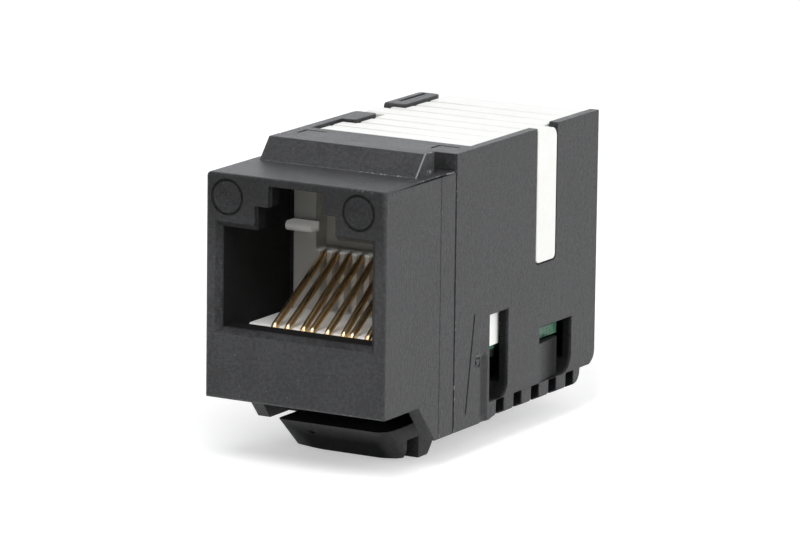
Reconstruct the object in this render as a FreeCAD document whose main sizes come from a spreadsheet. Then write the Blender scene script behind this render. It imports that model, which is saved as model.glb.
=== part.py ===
import FreeCAD, Part
import math
import os
import Sketcher

# A snap-in (keystone) modular jack, in millimetres.
# X runs across the jack, Y runs back from its front face and Z is up.
# The origin is the centre of the plug opening, in the plane of the front face.

SIZES = [
    # plug opening and front face, from the plug's centreline outwards
    ("plugWide", 12.1, "width of the plug opening"),
    ("plugTall", 7.15, "height of the plug opening"),
    ("plugBevel", 0.4, "lead-in bevel of the plug opening"),
    ("notchWide", 6.5, "lower step of the latch notch"),
    ("notchTall", 1.75, "height of the lower step"),
    ("keyWide", 4.3, "upper step of the latch notch"),
    ("keyTall", 1.52, "height of the upper step"),
    ("catchThick", 1.5, "front wall that the plug's latch catches behind"),
    ("cavityStep", 0.1, "how far the cavity's sides stand out behind the front wall"),
    ("sideWall", 1.2, "side walls beside the plug opening"),
    ("roofThick", 0.555, "wall over the latch notch"),
    ("faceRound", 0.3, "rounding of the outer edges"),
    # fit in the panel
    ("panelSeat", 8.3, "front face to the catching edges"),
    ("panelThick", 1.6, "panel edge that the jack grips"),
    ("ledgeDeep", 5.7, "front face to the foot of the top wedge"),
    ("wedgeRun", 1.3, "length of the wedge's slope"),
    ("wedgeIn", 0.9, "side of the jack to the wedge"),
    ("wedgeTall", 1.53, "height of the wedge above the ledge"),
    ("bridgeIn", 1.15, "side of the wedge to its tail across the panel groove"),
    ("cheekThick", 1.05, "thickness of the cheeks beside the latch"),
    ("cheekStart", 4.9, "front face to the top of the cheeks' slope"),
    ("cheekRun", 2.4, "length of the cheeks' slope"),
    # flexible latch
    ("latchWide", 8.9, "width of the latch"),
    ("latchGap", 2.2, "face's lower edge to the top of the latch"),
    ("latchNose", 5.2, "front face to the tip of the hook"),
    ("hookRun", 2.8, "length of the hook's slope"),
    ("hookTall", 2.65, "height of the hook"),
    ("hookCrown", 0.3, "crown of the hook's lower edge"),
    ("crownFlat", 4.2, "width of the hook's edge between its crowned flanks"),
    ("armThick", 1.1, "thickness of the latch's arm"),
    ("armRise", 0.3, "drop of the arm's top over the panel groove"),
    ("footLong", 3.1, "length of the foot behind the panel groove"),
    ("footTall", 1.58, "depth of the foot below the arm"),
    ("footFlat", 1.35, "length of the foot's flat bottom"),
    ("footRound", 0.5, "rounding of the foot's heel"),
    ("latchLong", 5.3, "seam to the root of the arm"),
    ("latchSlip", 0.35, "gap on each side of the latch"),
    ("slotRoof", 0.39, "floor left over the slot that the arm bends into"),
    # rear body
    ("bodyRise", 1.18, "top ledge up to the tops of the body's walls"),
    ("wallThick", 0.75, "side walls"),
    ("backThick", 1.2, "back wall"),
    ("bandDeep", 3.2, "depth of the band across the body's top front"),
    ("bandThick", 1.63, "thickness of that band"),
    ("frontThick", 0.6, "front wall beside the board"),
    ("floorThick", 0.92, "floor over the gaps between the ribs"),
    ("keelLong", 5.2, "length of the deep underside behind the seam"),
    ("keelTall", 1.27, "height of the deep underside and the cheeks below the body's floor"),
    ("ribShort", 2.25, "back of the body to the ribs' rear end"),
    ("ribRound", 0.9, "rounding of the ribs' rear end"),
    ("ribEdge", 0.25, "rounding of the ribs' lower edges"),
    ("tailRound", 1.0, "rounding of the body's lower rear corner"),
    ("gapAway", 1.0, "keel's rear edge and rear end of the ribs to the nearest gaps"),
    ("gapLong", 1.15, "length of a gap between ribs"),
    ("gapTall", 1.05, "height of a gap between ribs"),
    ("armSlotAway", 8.55, "band to the slot for the cap's arm"),
    ("armSlotLong", 3.0, "length of that slot"),
    ("armSlotTall", 10.0, "height of that slot"),
    ("armSlotRound", 0.4, "rounding of the slot's lower corners"),
    ("windowDeep", 1.2, "depth of the side windows"),
    ("windowLip", 0.02, "ribs' upper ends to the windows' lower edges"),
    ("slimAway", 5.15, "seam to the slim window"),
    ("slimLong", 2.7, "length of the slim window"),
    ("slimTall", 2.7, "board's top up to the slim window's top"),
    ("slimRound", 1.0, "rounding of its lower rear corner"),
    ("wideAway", 12.5, "seam to the wide window"),
    ("wideLong", 4.85, "length of the wide window"),
    ("wideTall", 0.43, "board's top up to the wide window's top"),
    ("wideRound", 1.3, "rounding of its lower rear corner"),
    ("scoopLong", 3.4, "length of the scoop in front of the wide window, under the board"),
    ("scoopDeep", 0.4, "depth of that scoop at its rear end"),
    ("railWide", 0.8, "rails under the board"),
    ("railAway", 1.2, "row of blades to the middle of the rail beside it"),
    ("railTall", 1.95, "height of the rails"),
    ("inletWide", 6.0, "cable inlet in the back wall"),
    ("inletDeep", 9.58, "tops of the walls down to the inlet's bottom"),
    ("inletTall", 4.15, "height of the cable inlet under the cap"),
    ("snapEdge", 0.85, "left side of the body to the first L-shaped groove of the band"),
    ("snapApart", 10.85, "from that groove to the second one"),
    ("snapWide", 1.75, "how far those grooves reach across"),
    ("snapLong", 1.3, "how far they reach back"),
    ("snapBack", 1.0, "seam to those grooves"),
    ("snapCut", 0.22, "width of those grooves"),
    ("snapDeep", 0.3, "depth of those grooves"),
    ("frontPadAway", 4.3, "band to the front guide pad"),
    ("frontPadThick", 1.1, "how far it stands in from the left wall"),
    ("rearPadThick", 1.0, "how far the rear guide pad stands in from the left wall"),
    ("padTall", 2.4, "height of both guide pads"),
    ("padRound", 0.4, "rounding of the pads' front corners"),
    ("padEnd", 1.3, "length over which the pads narrow at their rear ends"),
    ("padEndRound", 0.9, "rounding where they begin to narrow"),
    ("padTip", 0.35, "share of their thickness that is left at the very end"),
    ("padLineEdge", 0.5, "left side of the body to the line along the rear pad"),
    ("padLineAway", 1.25, "arm slot to that line, and the line to the back of the body"),
    ("padLineWide", 0.3, "width of that line"),
    ("padLineDeep", 0.4, "depth of that line"),
    # lines moulded into the sides
    ("seamHalf", 0.08, "half the width of the groove round the seam"),
    ("lineDeep", 0.14, "depth of the seam's groove and of the slanted line"),
    ("lineWide", 0.14, "width of the slanted line"),
    ("lineHighAway", 2.83, "seam to the upper end of the slanted line"),
    ("lineLowAway", 1.67, "seam to its lower end"),
    ("lineHigh", 3.93, "underside of the board up to its upper end"),
    ("lineLow", 1.04, "underside of the keel up to its lower end"),
    # contact carrier
    ("carrierSlip", 0.1, "gap beside and above the carrier"),
    ("carrierGap", 0.2, "gap behind the carrier"),
    ("carrierTall", 2.6, "carrier's floor down to the board"),
    ("housingFloor", 2.17, "housing's floor under the carrier"),
    ("floorDrop", 0.375, "plug opening's floor down to the carrier's floor"),
    ("tongueThick", 0.5, "front lip that the wires bend round"),
    ("wallFront", 10.0, "front face to the carrier's back wall"),
    ("combHigh", 0.55, "plug centreline up to the comb's shelf"),
    ("combMargin", 0.32, "outermost comb slots to the sides of the recess"),
    ("combDeep", 0.95, "depth of the comb slots"),
    ("recessDeep", 1.5, "depth of the recess over the comb"),
    ("stopUp", 1.85, "plug centreline up to the plug stops"),
    ("stopTall", 0.7, "thickness of the plug stops"),
    ("stopReach", 1.2, "how far the plug stops stand forward"),
    ("stopWide", 2.15, "width of a plug stop"),
    ("grooveAway", 1.15, "front bends to the ribs between the wire grooves"),
    # spring contacts
    ("wireWide", 0.43, "width of a contact wire across its flats"),
    ("wireSlip", 0.095, "gap beside a wire in its slot and its groove"),
    ("wirePitch", 1.02, "spacing of the contacts"),
    ("bendDeep", 4.2, "front face to the centre of the front bend"),
    ("bendGap", 0.025, "gap between the front bend and the carrier's lip"),
    ("noseGap", 1.4, "gap in front of the front bend"),
    ("riseAngle", 32.6, "slope of the contacts, in degrees"),
    ("tipIn", 0.25, "how far the free tips reach into the comb"),
    ("fanAngle", 0.6, "how much further each contact fans out than the one beside it, in degrees"),
    ("pairAngle", 1.75, "lean of the paired contacts towards each other, in degrees"),
    ("legAway", 0.6, "board's front edge to the first row of legs"),
    ("legStep", 0.9, "distance back to the second row of legs"),
    ("legBend", 0.45, "radius of the bend above a leg"),
    ("legOut", 0.5, "how far legs and tails stand out under the board"),
    # circuit board
    ("boardThick", 0.8, "thickness of the board"),
    ("boardSlip", 0.2, "gap round the board"),
    ("boardTail", 0.3, "how far the board reaches behind the block"),
    ("boardNotchAway", 7.5, "seam to the notches in the board's sides"),
    ("boardNotchLong", 3.4, "length of those notches"),
    ("boardNotchDeep", 1.2, "depth of those notches"),
    ("boardCorner", 0.5, "cut of the board's rear corners"),
    ("legHole", 0.33, "radius of the holes for the contact legs"),
    ("tailHole", 0.46, "radius of the holes for the blade tails"),
    # block and blades for the wires
    ("blockGap", 0.3, "band to the block"),
    ("blockMargin", 2.1, "ends of the block to the middle of the nearest blades"),
    ("shoulderLong", 4.7, "length of the block's wide part"),
    ("blockStep", 1.1, "how far the rest of the block stands in"),
    ("blockTall", 4.0, "height of the block"),
    ("inletRoom", 2.8, "room for the cable behind the block"),
    ("bladePitch", 3.1, "spacing of the blades"),
    ("bladeApart", 6.8, "distance between the two rows"),
    ("bladeWide", 2.1, "width of a blade"),
    ("bladeThick", 0.5, "thickness of a blade"),
    ("bladeTall", 8.6, "height of a blade above the board"),
    ("slitWide", 0.3, "slit that grips a wire"),
    ("slitDeep", 3.6, "depth of the slit"),
    ("slitMouth", 1.0, "width of the slit's mouth"),
    ("slitLead", 0.7, "depth of the slit's mouth"),
    ("tailWide", 0.7, "width of a blade's tail"),
    ("bladeSlip", 0.06, "gap round a blade in the block"),
    # wire cap
    ("capSlip", 0.15, "gap between the cap and the body"),
    ("capDrop", 0.2, "tops of the body's walls down to the top of the cap"),
    ("capThick", 1.2, "thickness of the cap's top"),
    ("skirtThick", 0.9, "thickness of the cap's skirt"),
    ("skirtTall", 8.08, "tops of the walls down to the skirt's lower edge"),
    ("armSlip", 0.1, "gap round the arms in their slots"),
    ("armRound", 0.8, "rounding of the arms' upper rear corner"),
    ("pressGap", 0.9, "space between the two press rails of a row"),
    ("pressThick", 0.6, "thickness of a press rail"),
    ("pressOver", 0.95, "how far the press rails reach down beside the blades"),
    ("wireNotch", 0.55, "radius of the wire notches in the rails"),
    ("topGroove", 0.5, "width of the grooves across the cap's top"),
    ("topGrooveDeep", 0.06, "depth of those grooves"),
    ("topGrooveAway", 2.3, "band to the first groove"),
    ("topGroovePitch", 2.05, "spacing of the grooves"),
]
CONTACTS = 8
BLADES_IN_ROW = 4
RIB_GAPS = 5
TOP_GROOVES = 7
PAIRS = [0, 0, 1, -1, 0, 1, -1, 0]  # which contacts lean to a neighbour, and to which side
EIGHTH = math.tan(math.pi / 8)
FULL_ROUND = 0.48  # share of a thickness that rounds its edge off

doc = FreeCAD.newDocument("keystone_jack")
sheet = doc.addObject("Spreadsheet::Sheet", "sizes")
for row, (name, value, note) in enumerate(SIZES, start=1):
    sheet.set(f"A{row}", name)
    sheet.set(f"B{row}", str(value))
    sheet.set(f"C{row}", note)
    sheet.setAlias(f"B{row}", name)
doc.recompute()


class Size:
    # A value with the sheet's formula for it, so that each formula is written once.
    def __init__(self, value, text):
        self.value = value
        self.text = text

    def __add__(self, other):
        other = sized(other)
        return Size(self.value + other.value, f"({self.text} + {other.text})")

    def __sub__(self, other):
        other = sized(other)
        return Size(self.value - other.value, f"({self.text} - {other.text})")

    def __mul__(self, other):
        other = sized(other)
        return Size(self.value * other.value, f"({self.text} * {other.text})")

    def __truediv__(self, other):
        other = sized(other)
        return Size(self.value / other.value, f"({self.text} / {other.text})")

    def __neg__(self):
        return Size(-self.value, f"(0 - {self.text})")

    __radd__ = __add__
    __rmul__ = __mul__


def sized(term):
    return term if isinstance(term, Size) else Size(float(term), repr(float(term)))


def turned(angle, function):
    # sin, cos or tan of an angle that the sheet gives in degrees
    value = getattr(math, function)(math.radians(angle.value))
    return Size(value, f"{function}({angle.text} * 1 deg)")


class Sheet:
    def __getattr__(self, name):
        return Size(float(getattr(sheet, name)), f"sizes.{name}")


s = Sheet()


class Piece:
    # One piece of the jack: a body whose features are added in the order it would be shaped.
    def __init__(self, name):
        self.body = doc.addObject("PartDesign::Body", name)
        self.body.Label = name
        self.count = 0

    def origin(self, role):
        return next(item for item in self.body.Origin.OriginFeatures if item.Role == role)

    def feature(self, kind):
        self.count += 1
        return self.body.newObject(kind, f"{self.body.Label}_{self.count}")

    def sketch(self, plane, place):
        sketch = self.feature("Sketcher::SketchObject")
        sketch.AttachmentSupport = (self.origin(f"{plane}_Plane"), "")
        sketch.MapMode = "FlatFace"
        place = -sized(place) if plane == "XZ" else sized(place)
        sketch.setExpression("AttachmentOffset.Base.z", place.text)
        return sketch

    def extrude(self, kind, sketch, plane, start, end):
        # Runs the sketch from start to end along the axis that the plane faces.
        feature = self.feature(kind)
        feature.Profile = (sketch, [""])
        feature.setExpression("Length", (sized(end) - start).text)
        feature.Reversed = (plane == "XZ") == (kind == "PartDesign::Pad")
        self.body.Tip = feature
        return feature

    def pad(self, plane, outline, start, end):
        return self.shape("PartDesign::Pad", plane, [outline], start, end)

    def pocket(self, plane, outline, start, end):
        return self.shape("PartDesign::Pocket", plane, [outline], start, end)

    def pockets(self, plane, outlines, start, end):
        return self.shape("PartDesign::Pocket", plane, outlines, start, end)

    def shape(self, kind, plane, outlines, start, end):
        sketch = self.sketch(plane, start)
        for outline in outlines:
            draw(sketch, outline)
        return self.extrude(kind, sketch, plane, start, end)

    def drill(self, plane, circles, start, end):
        sketch = self.sketch(plane, start)
        for across, up, radius in circles:
            circle(sketch, across, up, radius)
        return self.extrude("PartDesign::Pocket", sketch, plane, start, end)

    def mirror(self, *features):
        mirrored = self.feature("PartDesign::Mirrored")
        mirrored.Originals = list(features)
        mirrored.MirrorPlane = (self.origin("YZ_Plane"), [""])
        self.body.Tip = mirrored
        return mirrored

    def repeat(self, feature, axis, pitch, count):
        pattern = self.feature("PartDesign::LinearPattern")
        pattern.Originals = [feature]
        pattern.Direction = (self.origin(f"{axis}_Axis"), [""])
        pattern.Mode = "Spacing"
        pattern.setExpression("Offset", pitch.text)
        pattern.setExpression("Occurrences", sized(count).text)
        self.body.Tip = pattern
        return pattern

    def dress(self, kind, setting, amount, wanted):
        # Rounds or bevels the edges that the function wanted picks.
        doc.recompute()
        base = self.body.Tip
        edges = [f"Edge{n}" for n, edge in enumerate(base.Shape.Edges, start=1) if wanted(edge)]
        feature = self.feature(kind)
        feature.Base = (base, edges)
        feature.setExpression(setting, amount.text)
        self.body.Tip = feature
        return feature

    def fillet(self, amount, wanted):
        return self.dress("PartDesign::Fillet", "Radius", amount, wanted)

    def chamfer(self, amount, wanted):
        return self.dress("PartDesign::Chamfer", "Size", amount, wanted)


def pin(sketch, geometry, point, across, up):
    # Holds a point of the sketch at its place from the sheet.
    for kind, term in (("DistanceX", sized(across)), ("DistanceY", sized(up))):
        place = Sketcher.Constraint(kind, -1, 1, geometry, point, term.value)
        number = sketch.addConstraint(place)
        sketch.setExpression(f"Constraints[{number}]", term.text)


def draw(sketch, outline):
    # Closed outline through the corners given as (across, up) or (across, up, radius).
    corners = [(sized(c[0]), sized(c[1]), sized(c[2]) if len(c) > 2 else None) for c in outline]
    spots = [FreeCAD.Vector(c[0].value, c[1].value, 0) for c in corners]
    arcs = [None] * len(corners)
    for k, (spot, corner) in enumerate(zip(spots, corners)):
        if corner[2]:
            arcs[k] = rounding(spots[k - 1], spot, spots[(k + 1) % len(spots)], corner[2].value)
    lines = []
    for k in range(len(corners)):
        after = (k + 1) % len(corners)
        begin = arcs[k][2] if arcs[k] else spots[k]
        end = arcs[after][0] if arcs[after] else spots[after]
        lines.append(sketch.addGeometry(Part.LineSegment(begin, end), False))
    for k, corner in enumerate(corners):
        into, out = lines[k - 1], lines[k]
        if not arcs[k]:
            sketch.addConstraint(Sketcher.Constraint("Coincident", into, 2, out, 1))
            pin(sketch, out, 1, corner[0], corner[1])
            continue
        arc = sketch.addGeometry(Part.Arc(*arcs[k]), False)
        turn = (spots[k] - spots[k - 1]).cross(spots[(k + 1) % len(spots)] - spots[k]).z
        first, last = (1, 2) if turn > 0 else (2, 1)
        sketch.addConstraint(Sketcher.Constraint("Tangent", into, 2, arc, first))
        sketch.addConstraint(Sketcher.Constraint("Tangent", arc, last, out, 1))
        number = sketch.addConstraint(Sketcher.Constraint("Radius", arc, corner[2].value))
        sketch.setExpression(f"Constraints[{number}]", corner[2].text)
        tip = sketch.addGeometry(Part.Point(spots[k]), True)
        sketch.addConstraint(Sketcher.Constraint("PointOnObject", tip, 1, into))
        sketch.addConstraint(Sketcher.Constraint("PointOnObject", tip, 1, out))
        pin(sketch, tip, 1, corner[0], corner[1])


def rounding(before, corner, after, radius):
    # Start, middle and end of the arc that rounds a corner.
    back = (before - corner).normalize()
    on = (after - corner).normalize()
    half = back.getAngle(on) / 2
    start = corner + back * (radius / math.tan(half))
    end = corner + on * (radius / math.tan(half))
    inward = (back + on).normalize()
    middle = corner + inward * (radius / math.sin(half) - radius)
    return start, middle, end


def circle(sketch, across, up, radius):
    across, up, radius = sized(across), sized(up), sized(radius)
    centre = FreeCAD.Vector(across.value, up.value, 0)
    geometry = sketch.addGeometry(Part.Circle(centre, FreeCAD.Vector(0, 0, 1), radius.value), False)
    pin(sketch, geometry, 3, across, up)
    number = sketch.addConstraint(Sketcher.Constraint("Radius", geometry, radius.value))
    sketch.setExpression(f"Constraints[{number}]", radius.text)


def block(low, high, left, right):
    # Upright rectangle, from its lower left corner round.
    return [(left, low), (right, low), (right, high), (left, high)]


def even(wide, low, high):
    # Rectangle centred on the jack's middle plane.
    return block(low, high, -wide / 2, wide / 2)


def along(edge, axis):
    # Whether a straight edge runs along X, Y or Z.
    direction = edge.Vertexes[-1].Point - edge.Vertexes[0].Point
    return near(direction.Length, edge.Length) and near(abs(direction[axis]), edge.Length)


def near(one, other):
    return abs(one - other) < 1e-4


# Widths that several pieces share
faceWide = s.plugWide + s.sideWall * 2
outside = faceWide / 2
cavityWide = s.plugWide + s.cavityStep * 2
carrierWide = cavityWide - s.carrierSlip * 2
bodyInside = faceWide - s.wallThick * 2
boardWide = bodyInside - s.boardSlip * 2
wireSlot = s.wireWide + s.wireSlip * 2

# Heights, from the plug's centreline
plugFloor = -s.plugTall / 2
cavityHigh = s.plugTall / 2 + s.notchTall + s.keyTall
faceHigh = cavityHigh + s.roofThick
bodyHigh = faceHigh + s.bodyRise
capTop = bodyHigh - s.capDrop
capUnder = capTop - s.capThick
skirtLow = bodyHigh - s.skirtTall
inletLow = bodyHigh - s.inletDeep
armSlotLow = bodyHigh - s.armSlotTall
carrierFloor = plugFloor - s.floorDrop
boardTop = carrierFloor - s.carrierTall
boardUnder = boardTop - s.boardThick
legEnd = boardUnder - s.legOut
bladeTop = boardTop + s.bladeTall
faceBottom = boardTop - s.housingFloor
bodyFloor = boardUnder - s.railTall
panelLow = bodyFloor - s.floorThick
ribLow = panelLow - s.gapTall
cheekBottom = panelLow - s.keelTall
latchTop = faceBottom - s.latchGap
gripLow = latchTop - s.armThick
hookLow = latchTop - s.hookTall

# Depths, from the front face
seam = s.panelSeat + s.panelThick
frontBack = seam + s.frontThick
bandBack = seam + s.bandDeep
latchRoot = seam + s.latchLong
boardFront = frontBack + s.boardSlip
blockFront = bandBack + s.blockGap
bladeFirst = blockFront + s.blockMargin
blockBack = bladeFirst + s.bladePitch * (BLADES_IN_ROW - 1) + s.blockMargin
boardBack = blockBack + s.boardTail
backWall = blockBack + s.inletRoom
bodyDeep = backWall + s.backThick
armSlotFront = bandBack + s.armSlotAway
armSlotBack = armSlotFront + s.armSlotLong
tipDeep = s.wallFront + s.tipIn
bendRadius = (s.tongueThick + s.wireWide) / 2 + s.bendGap
sillDeep = s.bendDeep - bendRadius - s.wireWide / 2 - s.noseGap
grooveFront = s.bendDeep + s.grooveAway

# Guide pads of the left wall: front, back and how far they stand in
GUIDE_PADS = [
    (bandBack + s.frontPadAway, armSlotFront, s.frontPadThick),
    (armSlotBack, bodyDeep, s.rearPadThick),
]


def seamGroove(piece, start, end, high):
    # Shallow groove down both sides where the housing and the body meet
    strip = block(cheekBottom, high, outside - s.lineDeep, outside)
    piece.mirror(piece.pocket("XZ", strip, start, end))


def frontHousing():
    piece = Piece("front_housing")
    slope = s.cheekStart + s.cheekRun
    side = [
        (0, faceBottom),
        (s.cheekStart, faceBottom),
        (slope, cheekBottom),
        (seam, cheekBottom),
        (seam, faceHigh),
        (0, faceHigh),
    ]
    piece.pad("YZ", side, -outside, outside)
    between = faceWide - s.cheekThick * 2
    piece.pocket("XZ", even(between, cheekBottom, faceBottom), s.cheekStart, seam)

    # the outer edges of the face and the long edges are softened before anything is cut
    def outer(edge):
        middle = edge.CenterOfMass
        onSide = near(abs(middle.x), outside.value)
        onFace = near(middle.y, 0)
        if along(edge, 0) or along(edge, 2):
            return onFace
        return along(edge, 1) and onSide and near(middle.z, faceHigh.value)

    piece.fillet(s.faceRound, outer)

    # top wedge, with a narrower tail that crosses the panel groove
    top = faceHigh + s.wedgeTall
    wedgeTop = s.ledgeDeep + s.wedgeRun
    wedge = [(s.ledgeDeep, faceHigh), (s.panelSeat, faceHigh), (s.panelSeat, top), (wedgeTop, top)]
    wedgeSide = outside - s.wedgeIn
    piece.pad("YZ", wedge, -wedgeSide, wedgeSide)
    tail = [
        (wedgeTop, faceHigh),
        (seam, faceHigh),
        (seam, bodyHigh),
        (s.panelSeat, top),
        (wedgeTop, top),
    ]
    tailSide = wedgeSide - s.bridgeIn
    piece.pad("YZ", tail, -tailSide, tailSide)

    # plug opening with its stepped latch notch, the cavity behind it and the bed of the carrier
    notchHigh = s.plugTall / 2 + s.notchTall
    opening = [
        (-s.plugWide / 2, plugFloor),
        (s.plugWide / 2, plugFloor),
        (s.plugWide / 2, -plugFloor),
        (s.notchWide / 2, -plugFloor),
        (s.notchWide / 2, notchHigh),
        (s.keyWide / 2, notchHigh),
        (s.keyWide / 2, cavityHigh),
        (-s.keyWide / 2, cavityHigh),
        (-s.keyWide / 2, notchHigh),
        (-s.notchWide / 2, notchHigh),
        (-s.notchWide / 2, -plugFloor),
        (-s.plugWide / 2, -plugFloor),
    ]
    piece.pocket("XZ", opening, 0, s.catchThick)
    piece.pocket("XZ", even(cavityWide, plugFloor, cavityHigh), s.catchThick, seam)
    piece.pocket("XZ", even(cavityWide, boardTop, plugFloor), sillDeep, seam)

    def mouth(edge):
        middle = edge.CenterOfMass
        if not near(middle.y, 0):
            return False
        upright = along(edge, 2) and near(abs(middle.x), s.plugWide.value / 2)
        level = along(edge, 0) and near(abs(middle.z), s.plugTall.value / 2)
        return upright or level

    piece.chamfer(s.plugBevel, mouth)
    seamGroove(piece, seam - s.seamHalf, seam, faceHigh)
    return piece


def panelLatch():
    piece = Piece("panel_latch")
    rootLow = cheekBottom
    rootHigh = rootLow + s.armThick
    footLow = gripLow - s.footTall
    footBack = seam + s.footLong
    side = [
        (s.latchNose, latchTop),
        (s.latchNose + s.hookRun, hookLow + s.hookCrown / 2),
        (s.panelSeat, hookLow),
        (s.panelSeat, gripLow),
        (seam, gripLow),
        (seam, footLow),
        (seam + s.footFlat, footLow, s.footRound),
        (footBack, rootLow, s.footRound),
        (latchRoot, rootLow),
        (latchRoot, rootHigh),
        (footBack, latchTop + s.armRise),
        (s.panelSeat, latchTop),
    ]
    piece.pad("YZ", side, -s.latchWide / 2, s.latchWide / 2)
    # the hook's lower edge is crowned towards its middle
    flank = [
        (s.latchWide / 2, hookLow),
        (s.latchWide / 2, hookLow + s.hookCrown),
        (s.crownFlat / 2, hookLow),
    ]
    crown = piece.pocket("XZ", flank, s.latchNose, s.panelSeat)
    piece.mirror(crown)
    return piece


def rearBody():
    piece = Piece("rear_body")
    keelFront = seam + s.keelLong
    gapFirst = keelFront + s.gapAway
    ribEnd = bodyDeep - s.ribShort
    side = [
        (seam, cheekBottom),
        (keelFront, cheekBottom),
        (gapFirst, ribLow),
        (ribEnd, ribLow, s.ribRound),
        (ribEnd, panelLow),
        (bodyDeep, panelLow, s.tailRound),
        (bodyDeep, bodyHigh),
        (seam, bodyHigh),
    ]
    piece.pad("YZ", side, -outside, outside)
    inside = [
        (-bodyInside / 2, bandBack),
        (bodyInside / 2, bandBack),
        (bodyInside / 2, backWall),
        (-bodyInside / 2, backWall),
    ]
    piece.pocket("XY", inside, bodyFloor, bodyHigh)
    tunnelHigh = bodyHigh - s.bandThick
    piece.pocket("XZ", even(bodyInside, bodyFloor, tunnelHigh), frontBack, bandBack)
    piece.pocket("XZ", even(cavityWide, bodyFloor, tunnelHigh), seam, frontBack)

    # slot that the latch's arm bends into
    slotWide = s.latchWide + s.latchSlip * 2
    piece.pocket("XZ", even(slotWide, cheekBottom, bodyFloor - s.slotRoof), seam, latchRoot)

    # gaps between the ribs
    gapLast = ribEnd - s.gapAway - s.gapLong
    gap = block(ribLow, panelLow, gapFirst, gapFirst + s.gapLong)
    first = piece.pocket("YZ", gap, -outside, outside)
    piece.repeat(first, "Y", (gapLast - gapFirst) / (RIB_GAPS - 1), RIB_GAPS)

    # slots for the cap's arms and the two side windows
    armSlot = [
        (armSlotFront, armSlotLow, s.armSlotRound),
        (armSlotBack, armSlotLow, s.armSlotRound),
        (armSlotBack, bodyHigh),
        (armSlotFront, bodyHigh),
    ]
    cut = piece.pocket("YZ", armSlot, outside - s.wallThick, outside)
    windowLow = panelLow + s.windowLip
    slimFront = seam + s.slimAway
    slimBack = slimFront + s.slimLong
    slimHigh = boardTop + s.slimTall
    slim = [
        (slimFront, windowLow),
        (slimBack, windowLow, s.slimRound),
        (slimBack, slimHigh),
        (slimFront, slimHigh),
    ]
    slimWindow = piece.pocket("YZ", slim, outside - s.windowDeep, outside)
    wideFront = seam + s.wideAway
    wideBack = wideFront + s.wideLong
    wideHigh = boardTop + s.wideTall
    scoopBack = wideFront + s.scoopLong
    wide = [
        (wideFront, boardUnder),
        (scoopBack, boardUnder),
        (scoopBack, windowLow),
        (wideBack, windowLow, s.wideRound),
        (wideBack, wideHigh),
        (wideFront, wideHigh),
    ]
    wideWindow = piece.pocket("YZ", wide, outside - s.windowDeep, outside)
    ramp = [(outside, wideFront), (outside, scoopBack), (outside - s.scoopDeep, scoopBack)]
    scooped = piece.pocket("XY", ramp, windowLow, boardUnder)
    piece.mirror(cut, slimWindow, wideWindow, scooped)

    # cable inlet in the back wall, open upwards, with the wall's rim lowered for the cap
    inlet = even(s.inletWide, inletLow, bodyHigh)
    piece.pocket("XZ", inlet, backWall, bodyDeep)
    rim = even(bodyInside, capUnder, bodyHigh)
    piece.pocket("XZ", rim, backWall, bodyDeep)

    # L-shaped grooves in the top band
    snapFront = seam + s.snapBack
    snapRear = snapFront + s.snapLong
    grooves = []
    for shift in (sized(0), s.snapApart):
        left = s.snapEdge - outside + shift
        grooves.append(
            [
                (left, snapFront),
                (left + s.snapCut, snapFront),
                (left + s.snapCut, snapRear - s.snapCut),
                (left + s.snapWide, snapRear - s.snapCut),
                (left + s.snapWide, snapRear),
                (left, snapRear),
            ]
        )
    piece.pockets("XY", grooves, bodyHigh - s.snapDeep, bodyHigh)

    # seam groove and slanted line in the sides
    seamGroove(piece, seam, seam + s.seamHalf, bodyHigh)
    highDeep = seam + s.lineHighAway
    lowDeep = seam + s.lineLowAway
    high = boardUnder + s.lineHigh
    low = cheekBottom + s.lineLow
    line = [
        (lowDeep, low),
        (lowDeep + s.lineWide, low),
        (highDeep + s.lineWide, high),
        (highDeep, high),
    ]
    piece.mirror(piece.pocket("YZ", line, outside - s.lineDeep, outside))

    # rails that carry the board
    railMiddle = s.bladeApart / 2 + s.railAway
    rail = block(bodyFloor, boardUnder, railMiddle - s.railWide / 2, railMiddle + s.railWide / 2)
    carried = piece.pad("XZ", rail, bandBack, boardBack)
    piece.mirror(carried)

    # guide pads on the left wall, rounded where they end
    wall = -bodyInside / 2
    for front, back, thick in GUIDE_PADS:
        pad = [
            (wall, front),
            (wall + thick, front, s.padRound),
            (wall + thick, back - s.padEnd, s.padEndRound),
            (wall + thick * s.padTip, back),
            (wall, back),
        ]
        piece.pad("XY", pad, bodyHigh - s.padTall, bodyHigh)
    lineLeft = s.padLineEdge - outside
    padLine = [
        (lineLeft, armSlotBack + s.padLineAway),
        (lineLeft + s.padLineWide, armSlotBack + s.padLineAway),
        (lineLeft + s.padLineWide, bodyDeep - s.padLineAway),
        (lineLeft, bodyDeep - s.padLineAway),
    ]
    piece.pocket("XY", padLine, bodyHigh - s.padLineDeep, bodyHigh)

    # the ribs' lower edges are softened
    def ribEdges(edge):
        middle = edge.CenterOfMass
        inside = gapFirst.value + 0.5 < middle.y < gapLast.value + 0.5
        return along(edge, 0) and inside and near(middle.z, ribLow.value)

    piece.fillet(s.ribEdge, ribEdges)
    return piece


def contactX(number):
    # Place of a contact's tip across the jack.
    return s.wirePitch * (number - (CONTACTS - 1) / 2)


def lean(number):
    # Sideways angle of a contact, positive where its front bend stands to the right of its tip.
    return s.fanAngle * (number - (CONTACTS - 1) / 2) + s.pairAngle * PAIRS[number]


def leanShift(number, depth):
    # How far a leaning contact has moved sideways at a depth, from its tip's place.
    return (tipDeep - depth) * turned(lean(number), "tan")


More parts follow.
